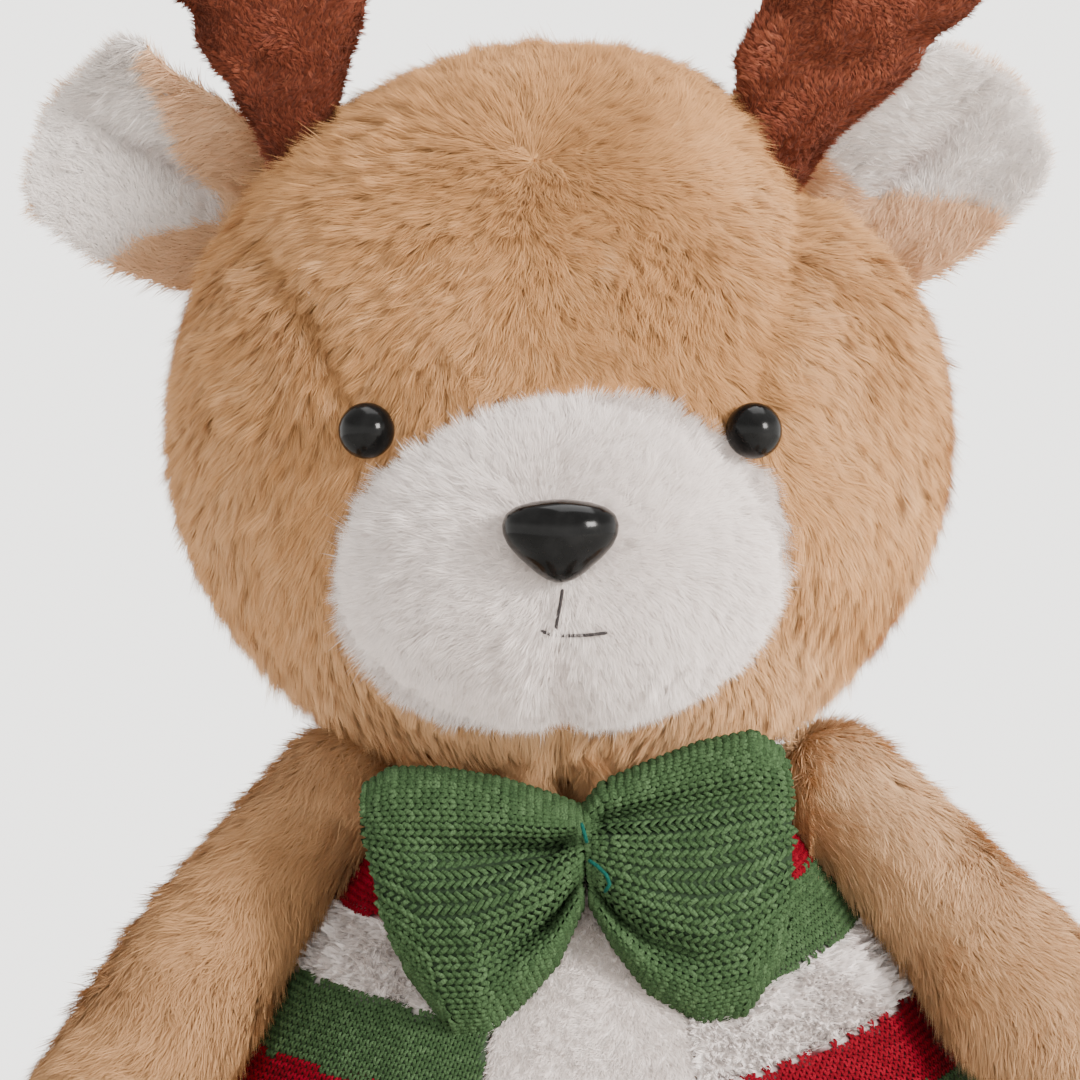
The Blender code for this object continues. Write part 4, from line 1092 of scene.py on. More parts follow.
torso = wrapped("torso_cloth", "torso_skin", TORSO_MIDDLE, TORSO_LIE)
dress(torso, "torso", "tan_plush", TAN_BACKING, "torso_skin")
fibre = wrapped("torso_fibre", "torso_skin", TORSO_MIDDLE, TORSO_LIE + SKIN_THICK, 64, 40)
dress(fibre, "torso", "stuffing", FIBRE, "torso_stuffing")
print("torso cloth", triangles(torso), "triangles")

# %% [markdown]
# The torso's pile grows only where nothing covers it: not under the waistcoat or the belly
# panel, not on the seat that the toy rests on, and not where the legs are sewn on. The rings
# between two sewn parts get pile too, so that no bare cloth shows when a part turns.

# %% Torso pile
HIP_REACH = 0.0305
NECK_REACH = 0.033
SEAT_HEIGHT = 0.006
COLLAR = 0.004
COLLAR_LONG = 1.35
UNDER_EDGE = 0.002
UNDER_TOP = 0.003
TAIL_LIE = 0.0015
SHOULDER_RING_PILE = dict(LIMB, length=0.0035)
VEST_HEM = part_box("vest_back")[0].z
VEST_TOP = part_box("vest_back")[1].z
BELLY_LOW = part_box("belly_panel")[0].z
BELLY_HALF_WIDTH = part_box("belly_panel")[1].x


def torso_keep(points, normals):
    high = points[:, 2]
    under_vest = (high > VEST_HEM + UNDER_EDGE) & (high < VEST_TOP - UNDER_TOP)
    under_belly = (np.abs(points[:, 0]) < BELLY_HALF_WIDTH - UNDER_EDGE) & (points[:, 1] < 0)
    under_belly &= (high > BELLY_LOW + UNDER_EDGE) & (high < VEST_TOP)
    seat = high < SEAT_HEIGHT
    at_hip = np.zeros(len(points), bool)
    for name, _ in SIDES:
        at_hip |= np.linalg.norm(points - joint_place(f"leg_{name}_lift"), axis=1) < HIP_REACH
    neck = np.linalg.norm(points - joint_place("head_nod"), axis=1) < NECK_REACH
    return ~(under_vest | under_belly | seat | at_hip) | (neck & (high > VEST_TOP))


def torso_flow(points, normals):
    out = unit(points * [1.0, 1.0, 0.0])
    collar = points[:, 2:] > VEST_TOP - COLLAR
    return np.where(collar, out - [0, 0, 0.25], np.array([0.0, 0.0, -1.0]))


pile("torso_pile", torso, "torso", "tan_plush", TAN_PILE, torso_flow, BACK, 51, keep=torso_keep,
     length=lambda p: np.where(p[:, 2] > VEST_TOP - COLLAR, COLLAR_LONG, 1.0))
pile("neck_pile", frame["nodes"]["neck_seam"], "neck_ring", "tan_plush", TAN_PILE, DOWNWARD, LIMB, 52,
     keep=lambda p, n: (n * p).sum(axis=1) > 0)
for name, side in SIDES:
    shoulder_ring, hip_ring = (frame["nodes"][f"{part}_{name}_seam"] for part in ("arm", "leg"))
    pile(f"shoulder_{name}_pile", shoulder_ring, f"shoulder_{name}", "tan_plush", LIGHTENED_LIMB_PILE,
         straight(side * 0.6, -0.5, -0.5), SHOULDER_RING_PILE, 53 + side)
    pile(f"hip_{name}_pile", hip_ring, f"hip_{name}", "tan_plush", TAN_PILE,
         straight(0.0, -1.0, 0.0), BACK, 57 + side)
tail = wrapped("tail_cloth", "tail", box_middle("tail"), TAIL_LIE, 32, 20)
dress(tail, "tail", "tan_plush", TAN_BACKING, "tail")
pile("tail_pile", tail, "tail", "tan_plush", TAN_PILE, straight(0.0, 0.6, -0.5), BACK, 61)

# %% [markdown]
# The antlers are two flat stuffed shapes in a short pile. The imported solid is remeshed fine
# and smoothed, and shallow dents are pressed in where the cloth wrinkles over its stuffing.

# %% Antlers
ANTLER_SUNK = {"left": 0.005, "right": 0.003}
ANTLER_HEEL = {"left": 0.007, "right": 0.0}
ANTLER_SHIFT = {"left": 0.009, "right": 0.0}
ANTLER_WIDER = {"left": 0.0030, "right": 0.0035}
ANTLER_CELL = 0.0013
ANTLER_ROUNDS = 10
ROOT_SPREAD = 0.012
HEEL_HEIGHT = 0.016
WIDE_FROM = 0.02
SHIFT_UP_TO = 0.045
WRINKLE_SIZE = 0.022
WRINKLE_SHAPE = [1.0, 0.4, 2.2]
WRINKLE_DEPTH = 0.0012
ANTLER_LIE = 0.0009
# painted light and shade: the left antler is a little lighter and the right antler darker
ANTLER_SIDE_SHADE = 0.06
for name, side in SIDES:
    node = f"antler_{name}"
    antler = remeshed(put(f"antler_{name}_cloth", merged(node)), ANTLER_CELL, ANTLER_ROUNDS)
    places = corners_of(antler)
    rise = places[:, 2] - places[:, 2].min()
    places[:, 2] -= ANTLER_SUNK[name] * bell(rise, ROOT_SPREAD)
    inner = np.clip((joint_place(f"{node}_tilt")[0] - places[:, 0]) / 0.01 + 0.4, 0, 1)
    places[:, 0] -= ANTLER_HEEL[name] * bell(rise - HEEL_HEIGHT, HEEL_HEIGHT) * inner
    places[:, 0] -= ANTLER_WIDER[name] * np.clip(rise / WIDE_FROM, 0, 1) * inner
    places[:, 0] -= ANTLER_SHIFT[name] * np.clip(1 - rise / SHIFT_UP_TO, 0, 1)
    move_corners(antler, places)
    wrinkle = ripple(places * WRINKLE_SHAPE, WRINKLE_SIZE, 70 + side)
    dent = ANTLER_LIE + WRINKLE_DEPTH * np.clip(wrinkle - 0.1, 0, 1)
    move_corners(antler, places - corner_normals(antler) * dent[:, None])
    dress(antler, node, "brown_pile", BROWN_BACKING, node)
    # painted light and shade by side, in the antler's strand tone
    pile(f"antler_{name}_pile", antler, node, "brown_pile", BROWN_PILE, straight(0.0, -0.2, 1.0),
         SHORT, 71 + side, tone=lambda p, side=side: ANTLER_SIDE_SHADE * side)

# %% [markdown]
# An ear is a leaf, cupped forward and folded once along its length. It is a ball pressed flat:
# each ring of the ball takes the leaf's width at its height. The places are worked out in the
# ear's own frame, with its root on the seam that it turns about. This cell finds that frame.

# %% Where an ear is sewn on
EAR_LENGTH = {"left": 0.0400, "right": 0.0425}
EAR_SLIDE = {"left": 0.004, "right": 0.0}
EAR_ROOT = {"left": 0.011, "right": 0.005}
EAR_HALF_WIDTH = {"left": 0.0168, "right": 0.0188}
EAR_CROWN_SIDE = {"left": 1.35, "right": 1.22}
EAR_CORNER = {"left": 0.06, "right": 0.34}
EAR_FOLD = 0.0062
EAR_FOLD_ACROSS = 0.20
EAR_THICK = 0.0026
EAR_CUP = 0.0115


def ear_frame(name):
    """Where the ear is sewn on, with its own Z along the ear and its own X along the seam."""
    wide = Vector(joints[f"ear_{name}_flap"]["axis"]).normalized()
    root = Vector(joint_place(f"ear_{name}_flap"))
    low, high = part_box(f"ear_back_{name}")
    tip = Vector((high.x if root.x > 0 else low.x, (low.y + high.y) / 2, high.z)) - root
    up = (tip - wide * tip.dot(wide)).normalized()
    up.y = 0.0
    up = (up - wide * up.dot(wide)).normalized()
    deep = up.cross(wide)
    turn = Matrix((wide, deep, up)).transposed().to_4x4()
    root.x -= EAR_SLIDE[name]
    return Matrix.Translation(root) @ turn


print("the left ear's root is at", [round(value, 4) for value in ear_frame("left").translation])

# %% [markdown]
# Up the ear, the half width follows a short list of shares. The side nearest the crown is
# broader, with a fuller upper corner on one ear. The cup deepens towards the edges and the tip,
# and the fold is a ridge that runs up the ear beside its middle.

# %% Shape of an ear
EAR_OUTLINE_SHARES = (
    (0.0, 0.78), (0.2, 0.90), (0.4, 1.0), (0.6, 1.0), (0.8, 0.95), (0.92, 0.78), (1.0, 0.5),
)


def between(shares, at):
    places, values = zip(*shares)
    return np.interp(at, places, values)


def ear_shape(name, sewn, upward):
    bm = ball(40, 36)
    for vert in bm.verts:
        x, y, z = vert.co
        high = (z + 1) / 2
        ring = max(math.sqrt(max(1 - z * z, 0.0)), SMALL)
        wide = float(between(EAR_OUTLINE_SHARES, high)) * min(1.0, ring * 1.6)
        across = x / ring * wide
        if across * upward > 0:
            corner = math.exp(-(((high - 0.9) / 0.16) ** 2))
            across *= EAR_CROWN_SIDE[name] + EAR_CORNER[name] * corner
        from_fold = (across * upward - EAR_FOLD_ACROSS) / 0.2
        fold = EAR_FOLD * math.exp(-(from_fold**2)) * math.sin(math.pi * high)
        vert.co = sewn @ Vector((
            across * EAR_HALF_WIDTH[name],
            y * EAR_THICK - EAR_CUP * across * across * (0.3 + 0.7 * high) + fold,
            high * (EAR_LENGTH[name] + EAR_ROOT[name]) - EAR_ROOT[name],
        ))
    bmesh.ops.recalc_face_normals(bm, faces=bm.faces)
    return put(f"ear_{name}_cloth", bm)


print("ears", EAR_LENGTH, "m long")

# %% [markdown]
# The hollow side is lined with white, and the tan back wraps a little way round its root. One
# closed shape carries both: a strand's colour depends on where on the leaf it is rooted, and
# the cloth under it is dyed to match, corner by corner.

# %% Ears
LINING_TOP_SHARES = {  # the white side's edge nearest the crown: up the ear, and across it
    "right": ((0.08, 0.15), (0.33, 0.42), (0.53, 0.78), (0.74, 1.12), (0.82, 1.8)),
    "left": ((0.0, 0.9), (0.1, 1.5), (1.0, 1.5)),
}
LINING_LOW_SHARES = {  # and its edge nearest the cheek
    "right": ((0.08, 0.10), (0.29, 0.60), (0.45, 1.5), (1.0, 1.5)),
    "left": ((0.0, -0.35), (0.17, 0.0), (0.45, 0.65), (0.6, 1.5)),
}
LINING_FROM = 0.04
# painted light over the whole lining, and painted shade in its fold
LINING_PAINTED_LIGHT = 0.42
FOLD_PAINTED_SHADE = 0.8
FOLD_HEIGHT = 0.35
FOLD_LENGTH = 0.3
FOLD_WIDTH = 0.16
LINING_DYE = (0.74, 0.67, 0.63)
# painted light: the ear back's cloth is a light tan, to match its lighter pile
EAR_BACK_GROUND_PAINTED_LIGHT = (0.62, 0.38, 0.21)
EAR_BACK_PILE = dict(LIMB, length=0.0048, stray=0.35, rise=0.4)
EAR_CLOTH = dyed_ground("ear_cloth")
for name, side in SIDES:
    sewn = ear_frame(name)
    upward = math.copysign(1, (sewn.to_3x3() @ Vector((1, 0, 0))).z)
    ear = ear_shape(name, sewn, upward)
    dress(ear, f"ear_{name}", "tan_plush", EAR_CLOTH, f"ear_back_{name}", f"ear_lining_{name}")
    home = np.array(sewn.inverted())

    def on_ear(points, home=home, name=name, upward=upward):
        """How far points are up the ear and across it, as shares of its length and half width."""
        own = points @ home[:3, :3].T + home[:3, 3]
        return own[:, 2] / EAR_LENGTH[name], own[:, 0] * upward / EAR_HALF_WIDTH[name]

    def lined(points, normals, home=home, name=name, on_ear=on_ear):
        """Whether a point is on the white side of the ear."""
        high, across = on_ear(points)
        under_top = across < between(LINING_TOP_SHARES[name], high)
        over_low = -across < between(LINING_LOW_SHARES[name], high)
        forward = (normals @ home[:3, :3].T)[:, 1] < np.where(high > 0.45, 0.5, 0.2)
        return forward & under_top & over_low & (high > LINING_FROM)

    def hollow(points, on_ear=on_ear):
        """Painted shade: the lining is darker down in its fold; painted light makes the rest of it lighter.
        """
        high, across = on_ear(points)
        up_fold, beside_fold = (high - FOLD_HEIGHT) / FOLD_LENGTH, (across - EAR_FOLD_ACROSS) / FOLD_WIDTH
        return LINING_PAINTED_LIGHT - FOLD_PAINTED_SHADE * np.exp(-(up_fold**2) - beside_fold**2)

    white = lined(corners_of(ear), corner_normals(ear))[:, None]
    dye_corners(ear, np.where(white, LINING_DYE, EAR_BACK_GROUND_PAINTED_LIGHT))
    flow = straight(*way(np.zeros(3), sewn.to_3x3() @ Vector((0, 0, 1))))
    pile(f"ear_{name}_lining_pile", ear, f"ear_{name}", "white_plush", WHITE_PILE, flow, DOWN, 81 + side,
         tone=hollow, keep=lined)
    pile(f"ear_{name}_back_pile", ear, f"ear_{name}", "tan_plush", LIGHTENED_EAR_PILE, flow, EAR_BACK_PILE,
         85 + side, keep=lambda p, n: ~lined(p, n))

# %% [markdown]
# A knit is rows of V shaped stitches. One stitch is two short legs of yarn that swell in the
# middle and dive at their ends. The stitches are placed on a grid that follows the cloth, and
# since all are one small template, thousands of them stay cheap.

# %% Wool


def yarn(name, dark, middle, light):
    """Wool: its tone changes from stitch to stitch, and fine fibres run round it."""
    made, tree, principled = new_material(name)
    dye, _, place = strand_dye(tree, dark, middle, light)
    fibre = shader(tree, "ShaderNodeTexNoise", [("Vector", place), ("Scale", 26.0), ("Detail", 3.0)])
    shade = ramp(tree, fibre.outputs["Fac"], [(0.35, grey(0.55)), (0.65, grey(1.3))])
    tree.links.new(mix_colour(tree, "MULTIPLY", 1.0, dye, shade), principled.inputs["Base Color"])
    principled.inputs["Roughness"].default_value = 0.85
    principled.inputs["Specular IOR Level"].default_value = 0.08
    sheen(principled, 0.1, 0.4, light)
    return made


GREEN_YARN = yarn("green_wool", (0.014, 0.030, 0.012), (0.032, 0.062, 0.025), (0.066, 0.115, 0.052))
RED_YARN = yarn("red_wool", (0.052, 0.0004, 0.003), (0.125, 0.0008, 0.006), (0.215, 0.003, 0.014))
print("two wools ready")

# %% [markdown]
# A leg of the V is a strip of faces bent round the yarn's middle line, open underneath, since
# nobody sees that side. The bow is seen close up and gets finer stitches than the waistcoat.

# %% Stitches
LEG_SHARES = (  # across and along in stitches, and height in yarn radii, of one leg's middle line
    (0.04, -0.62, -0.5), (0.17, -0.28, 0.55), (0.30, 0.14, 0.75), (0.42, 0.60, -0.2),
)
LEG_LEAN = 0.36
FINE_ANGLES = (-80, -28, 28, 80)
PLAIN_ANGLES = (-75, 0, 75)
STITCH_TONES = (0.05, 0.9)
STITCH_TONE_SPREAD = 0.09
STITCH_TONE_ACROSS = 0.08


def stitches(name, grid, half_yarn, body, slot, material, seed, fine=True):
    """A V at each place of a grid, with the stitch's own width and height as vectors."""
    places, across, run, normals = grid
    rng = np.random.default_rng(seed)
    legs = LEG_SHARES if fine else (LEG_SHARES[0], LEG_SHARES[2], LEG_SHARES[3])
    ring = FINE_ANGLES if fine else PLAIN_ANGLES
    count = len(places)
    corners, ups, sides = [], [], []
    for mirror in (1, -1):
        for step, (beside, ahead, high) in enumerate(legs):
            middle = places + across * beside * mirror + run * ahead + normals * (high * half_yarn)
            lean = unit(across * mirror * LEG_LEAN + run)
            square = np.cross(lean, normals)
            for angle in ring:
                turn = math.radians(angle)
                out = square * math.sin(turn) + normals * math.cos(turn)
                corners.append(middle + out * half_yarn)
                ups.append(step / (len(legs) - 1))
                sides.append((angle - ring[0]) / (ring[-1] - ring[0]))
    width, height = len(ring), len(legs)
    faces = []
    for mirror in range(2):
        for step in range(height - 1):
            for here in range(width - 1):
                first = mirror * width * height + step * width + here
                faces.append((first, first + width, first + width + 1, first + 1))
    loops = np.array(faces).ravel()
    tones = np.clip(0.5 + STITCH_TONE_SPREAD * rng.normal(size=count), *STITCH_TONES)
    uvs = np.empty((count, len(loops), 2))
    uvs[:, :, 0] = tones[:, None] + STITCH_TONE_ACROSS * np.array(sides)[loops]
    uvs[:, :, 1] = np.array(ups)[loops] * 0.25 + rng.random(count)[:, None] * 0.75
    starts = np.arange(len(faces)) * 4
    made = repeated(name, np.stack(corners, axis=1), loops, starts, uvs)
    dress(made, body, slot, material)
    print(name, count, "stitches")
    return made


print("a stitch has", 2 * (len(LEG_SHARES) - 1) * (len(FINE_ANGLES) - 1), "faces")

# %% [markdown]
# The waistcoat is knitted in stripes of red, green and white. Each front was cut with its
# stripes running down towards the belly. So the place of a stitch is measured along and across
# the stripes: once round the torso, once up, and then turned by the stripe's slope.

# %% Stripes
TORSO_ROUND = 0.065
VEST_STITCH = 0.0017
VEST_ROW = 0.00135
VEST_YARN = 0.00038
STRIPE_SLOPE = {"left": math.radians(17.5), "right": math.radians(11.5), "back": 0.0}
STRIPES = {  # each colour with the height across the stripes that it ends at, from the top down
    "left": (
        ("red", 0.1235), ("green", 0.1098), ("white", 0.0954), ("red", 0.0815),
        ("green", 0.067), ("white", 0.053), ("red", 0.038), ("green", 0.0),
    ),
    "right": (
        ("red", 0.126), ("white", 0.1132), ("green", 0.0978), ("red", 0.083),
        ("white", 0.069), ("green", 0.054), ("red", 0.0),
    ),
    "back": (
        ("red", 0.143), ("green", 0.128), ("white", 0.114), ("red", 0.099),
        ("green", 0.084), ("white", 0.070), ("red", 0.0),
    ),
}


def stripe_place(points, panel):
    """How far points lie along and across the stripes of a panel."""
    x, y = points[:, 0], points[:, 1]
    turn = np.arctan2(x, y) if panel == "back" else np.arctan2(np.abs(x), -y)
    slope, across, up = STRIPE_SLOPE[panel], TORSO_ROUND * turn, points[:, 2]
    along = across * math.cos(slope) + up * math.sin(slope)
    return along, up * math.cos(slope) - across * math.sin(slope)


def stripe_number(panel, across):
    """The number of the stripe that each height across the stripes is in."""
    ends = np.array([end for _, end in STRIPES[panel]])
    return (across[:, None] < ends).sum(axis=1).clip(0, len(ends) - 1)


def stripe_names(panel, numbers):
    return np.array([colour for colour, _ in STRIPES[panel]])[numbers]


def stripe_at(points, panel):
    """The name of the colour at each point."""
    return stripe_names(panel, stripe_number(panel, stripe_place(points, panel)[1]))


print("stripes:", {panel: len(colours) for panel, colours in STRIPES.items()})

# %% [markdown]
# The panels were packed as thin closed cloths, so each is cut into finer faces and softened at
# its edges. At the sides of the belly the stuffing presses it out a little. The ground takes
# the stripes' colours, darker than the wool: painted shade, so that gaps between stitches look deep.

# %% Waistcoat cloth
PANELS = {"left": "vest_front_left", "right": "vest_front_right", "back": "vest_back"}
VEST_SWELL = 0.0045
VEST_SWELL_TOP = 0.138
VEST_SWELL_FADE = 0.025
VEST_LIE = 0.0004
COARSE_CUTS = ((0.004, 2), (0.0024, 1))


def vest_swell(points):
    """How far the waistcoat is pressed out at the sides of the belly."""
    sideways = (points[:, 0] / np.maximum(np.hypot(points[:, 0], points[:, 1]), SMALL)) ** 2
    from_top = np.clip((VEST_SWELL_TOP - points[:, 2]) / VEST_SWELL_FADE, 0, 1)
    from_hem = np.clip((points[:, 2] - VEST_HEM) / VEST_SWELL_FADE, 0, 1)
    return VEST_SWELL * sideways * from_top * from_hem


def panel_cloth(node):
    """The cloth of a panel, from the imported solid, cut finer and softened at its edges."""
    bm = merged(node)
    for longest, cuts in COARSE_CUTS:
        long_edges = [edge for edge in bm.edges if edge.calc_length() > longest]
        bmesh.ops.subdivide_edges(bm, edges=long_edges, cuts=cuts, use_grid_fill=True)
    soften(bm, 0.3)
    made = put(f"{node}_cloth", bm)
    places = corners_of(made)
    out = unit(places * [1.0, 1.0, 0.0])
    move_corners(made, places + out * (vest_swell(places) - VEST_LIE)[:, None])
    return made


# painted shade: the ground under the stitches is darker than the wool
SHADED_GROUND_COLOURS = {"red": (0.09, 0.001, 0.006), "green": (0.022, 0.042, 0.018), "white": (0.78, 0.71, 0.68)}
VEST_GROUND = dyed_ground("waistcoat_ground")


vest_cloths = {}
for panel, node in PANELS.items():
    made = panel_cloth(node)
    dye_corners(made, np.array([SHADED_GROUND_COLOURS[colour] for colour in stripe_at(corners_of(made), panel)]))
    dress(made, "torso", "vest_knit", VEST_GROUND, node)
    vest_cloths[panel] = made
    print(node, triangles(made), "triangles")

# %% [markdown]
# Now the stitches. A column of Vs climbs straight across the stripes. Where one colour ends
# and the next begins, the border isn't a ruled line: it steps by about half a row from column
# to column, because each stitch hangs from the one of the row before.

# %% Where the stitches sit
ALONG_REACH = {"left": (-0.14, 0.26), "right": (-0.14, 0.26), "back": (-0.14, 0.14)}
ACROSS_REACH = (-0.06, 0.17)
MOST_TURN = 3
RAY_START = 0.3
RAY_REACH = 0.26
FACING_OUT = 0.3


def vest_grid(panel):
    """Places, widths, heights, normals and stripe numbers of the stitches of a panel."""
    surface = surface_of(merged(PANELS[panel]))
    slope = STRIPE_SLOPE[panel]
    side = -1 if panel == "right" else 1
    behind = 1 if panel == "back" else -1
    low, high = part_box(PANELS[panel])
    rng = np.random.default_rng(len(panel))
    places, normals, acrosses, runs, stripes = [], [], [], [], []
    for along in np.arange(*ALONG_REACH[panel], VEST_STITCH):
        step = rng.uniform(-0.5, 0.5) * VEST_ROW
        for across in np.arange(*ACROSS_REACH, VEST_ROW):
            turn = (along * math.cos(slope) - across * math.sin(slope)) / TORSO_ROUND
            up = along * math.sin(slope) + across * math.cos(slope)
            if not low.z < up < high.z or abs(turn) > MOST_TURN or (behind < 0 and turn < 0):
                continue
            out = Vector((side * math.sin(turn), behind * math.cos(turn), 0))
            hit, normal, _, far = surface.ray_cast(Vector((0, 0, up)) + out * RAY_START, -out)
            if hit is None or normal.dot(out) < FACING_OUT or far > RAY_REACH:
                continue
            sideways = Vector((side * math.cos(turn), -behind * math.sin(turn), 0))
            run = Vector((0, 0, 1)) * math.cos(slope) - sideways * math.sin(slope)
            run = (run - normal * run.dot(normal)).normalized()
            wide = math.hypot(hit.x, hit.y) / TORSO_ROUND
            places.append(hit + out * float(vest_swell(np.array([hit]))[0]))
            normals.append(normal)
            runs.append(run * VEST_ROW)
            acrosses.append(run.cross(normal) * VEST_STITCH * wide)
            stripes.append(across + step)
    grid = tuple(np.array(part) for part in (places, acrosses, runs, normals))
    return grid, stripe_number(panel, np.array(stripes))


print("a row is", VEST_ROW * 1000, "mm high")

# %% [markdown]
# The white stripes are chenille, a yarn with a cut pile of its own, so they get short thick
# strands instead of stitches. A panel, its stitches and its chenille are one sheet of cloth,
# draped on the torso.

# %% Waistcoat stitches and chenille
CHENILLE = dict(
    SHORT, density=13.0, length=0.0014, width=0.00030, rise=1.2, in_tuft=14, pull=0.6, stray=0.6,
    tone=0.03,
)
CHENILLES = {"left": CHENILLE, "right": CHENILLE, "back": dict(CHENILLE, density=7.0, width=0.00040)}
for panel, node in PANELS.items():
    grid, numbers = vest_grid(panel)
    knit = []
    for colour, material in (("red", RED_YARN), ("green", GREEN_YARN)):
        chosen = stripe_names(panel, numbers) == colour
        knit.append(stitches(
            f"{node}_{colour}_stitches", [part[chosen] for part in grid], VEST_YARN, "torso",
            "vest_knit", material, 91 + len(panel), fine=False,
        ))

    def white_outside(points, normals, panel=panel):
        outward = (normals[:, :2] * points[:, :2]).sum(axis=1) > 0
        return (stripe_at(points, panel) == "white") & outward

    cloth = vest_cloths[panel]
    knit += pile(f"{node}_chenille", cloth, "torso", "vest_knit", CHENILLE_PILE, DOWNWARD,
                 CHENILLES[panel], 95 + len(panel), keep=white_outside)

# %% [markdown]
# The belly is a soft white panel with a dense short pile, brushed down. It was packed as a thin
# closed cloth like the waistcoat's panels, so it is cut finer in the same way, and its pile
# grows on its front alone, because the torso hides the rest.

# %% Belly
BELLY_SUNK = 0.0010
BELLY_PILE = dict(DOWN, density=10.0, width=0.00023, length=0.0022, tone=0.02)
belly = panel_cloth("belly_panel")
move_corners(belly, corners_of(belly) + [0.0, BELLY_SUNK, 0.0])
dress(belly, "torso", "white_plush", WHITE_BACKING, "belly_panel")
belly_pile = pile("belly_pile", belly, "torso", "white_plush", WHITE_PILE, DOWNWARD, BELLY_PILE, 101,
                  keep=lambda p, n: n[:, 1] < 0.1)

# %% [markdown]
# The bow tie is a knitted tube, flattened and gathered at its middle by a thread. Each half is
# a ball drawn out sideways: its rings follow the bow's outline, and near the gather they are
# folded into pleats, because the same width of cloth has to fit into less height.

# %% Outline of the bow
BOW_EDGES = {  # from the gather outward: the upper and then the lower edge, in the photograph
    "right": (
        ((583, 806), (545, 792), (500, 778), (440, 768), (392, 768), (364, 786)),
        ((583, 900), (556, 960), (522, 1000), (488, 1032), (458, 1034), (404, 962)),
    ),
    "left": (
        ((583, 806), (602, 782), (648, 762), (700, 742), (752, 731), (786, 752)),
        ((590, 900), (616, 946), (650, 990), (700, 1019), (744, 1010), (784, 950)),
    ),
}


def edge_at(points, share):
    """The place in metres at a share of the way along an edge."""
    steps = np.linspace(0, 1, len(points))
    px = np.interp(share, steps, [p[0] for p in points])
    py = np.interp(share, steps, [p[1] for p in points])
    return np.array(seen(px, py))


print("the gather's top is at", edge_at(BOW_EDGES["left"][0], 0).round(4))

# %% [markdown]
# Between the two edges the tube bulges towards the viewer and back. It is thin at the gather,
# fullest halfway out and closed at its end. A pleat is a furrow that starts at the gather and
# runs out flat, deeper on the front than on the back.

# %% Shape of the bow
BOW_BULGE = {"left": 0.055, "right": -0.09}
BOW_PLEATS = {  # how high, how deep and how far out each pleat runs
    "left": ((0.52, 0.0085, 0.95), (-0.50, 0.0085, 0.70)),
    "right": ((0.30, 0.0098, 0.80), (-0.42, 0.0098, 0.60)),
}
PLEAT_WIDTH = 0.14
BACK_PLEAT_SHARE = 0.4
GATHER_THICK = 0.0030
BOW_THICK = 0.0068
BOW_BEHIND = 0.001
AT_POLE = 0.9999
BOW_AROUND = 128
BOW_ALONG = 40
low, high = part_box("bow_tie")
BOW_FRONT = low.y
BOW_MIDDLE = (low.y + high.y) / 2 + BOW_BEHIND


def bow_point(side_name, share, angle):
    """The bow's skin at a share of the way out and an angle round the tube."""
    upper, lower = (edge_at(points, share) for points in BOW_EDGES[side_name])
    up, deep = math.sin(angle), math.cos(angle)
    level = 0.5 + 0.5 * (abs(up) ** 0.85) * math.copysign(1, up)
    flat = lower * (1 - level) + upper * level
    belly_out = math.sin(math.pi * min(0.14 + share * 0.90, 1.0)) ** 0.6
    thick = GATHER_THICK + BOW_THICK * belly_out
    pleat = -sum(
        depth * math.exp(-(((up - at) / PLEAT_WIDTH) ** 2)) * max(0.0, 1 - (share / reach) ** 2)
        for at, depth, reach in BOW_PLEATS[side_name]
    ) * min(share / 0.12, 1.0)
    bulge = BOW_BULGE[side_name] * (upper - lower)[1] * (share**6) * (1 - up * up)
    out, pleated = (-1, 1) if deep > 0 else (1, BACK_PLEAT_SHARE)
    y = BOW_MIDDLE + out * (thick * abs(deep) ** 0.8 + pleat * abs(deep) ** 0.5 * pleated)
    return Vector((flat[0] + bulge, y, flat[1]))


def bow_half(side_name):
    bm = ball(BOW_AROUND, BOW_ALONG)
    for vert in bm.verts:
        share = min(max(0.5 + math.asin(max(-1, min(1, vert.co.z))) / math.pi, 0.0), 1.0)
        if abs(vert.co.z) > AT_POLE:
            ends = [bow_point(side_name, share, math.radians(a)) for a in (0, 90, 180, 270)]
            vert.co = sum(ends, Vector()) / 4
        else:
            vert.co = bow_point(side_name, share, math.atan2(vert.co.x, vert.co.y))
    bmesh.ops.recalc_face_normals(bm, faces=bm.faces)
    return put(f"bow_half_{side_name}", bm)


print("the bow's middle lies at y", round(BOW_MIDDLE, 4))

# %% [markdown]
# The bow's stitches run in columns from the gather outward. Each row is laid where the last
# one ended: a small step along the tube shows how fast the cloth runs there, and that gives
# the share of the way out that one row takes up.

# %% Bow tie
BOW_ROW = 0.0017
BOW_YARN = 0.00052
BOW_COLUMNS = 48
BOW_FIRST_ROW = 0.02
BOW_LAST_ROW = 0.977
STEP = 0.01
LEAST_STRETCH = 0.02


def bow_stitches(side_name):
    """Columns of stitches that run out from the gather on both faces of the tube."""
    places, acrosses, runs, normals = [], [], [], []
    for column in range(BOW_COLUMNS):
        angle = math.tau * column / BOW_COLUMNS
        share = BOW_FIRST_ROW
        while share < BOW_LAST_ROW:
            here = bow_point(side_name, share, angle)
            ahead = bow_point(side_name, min(share + STEP, 1.0), angle) - here
            beside = bow_point(side_name, share, angle + math.pi / BOW_COLUMNS)
            beside = beside - bow_point(side_name, share, angle - math.pi / BOW_COLUMNS)
            stretch = max(ahead.length / STEP, LEAST_STRETCH)
            normal = beside.cross(ahead)
            normal.normalize()
            centre = (bow_point(side_name, share, 0) + bow_point(side_name, share, math.pi)) / 2
            if normal.y * (here.y - centre.y) < 0:
                normal.negate()
            places.append(here)
            normals.append(normal)
            runs.append(ahead.normalized() * BOW_ROW)
            acrosses.append(beside)
            share += BOW_ROW / stretch
    return [np.array(part) for part in (places, acrosses, runs, normals)]


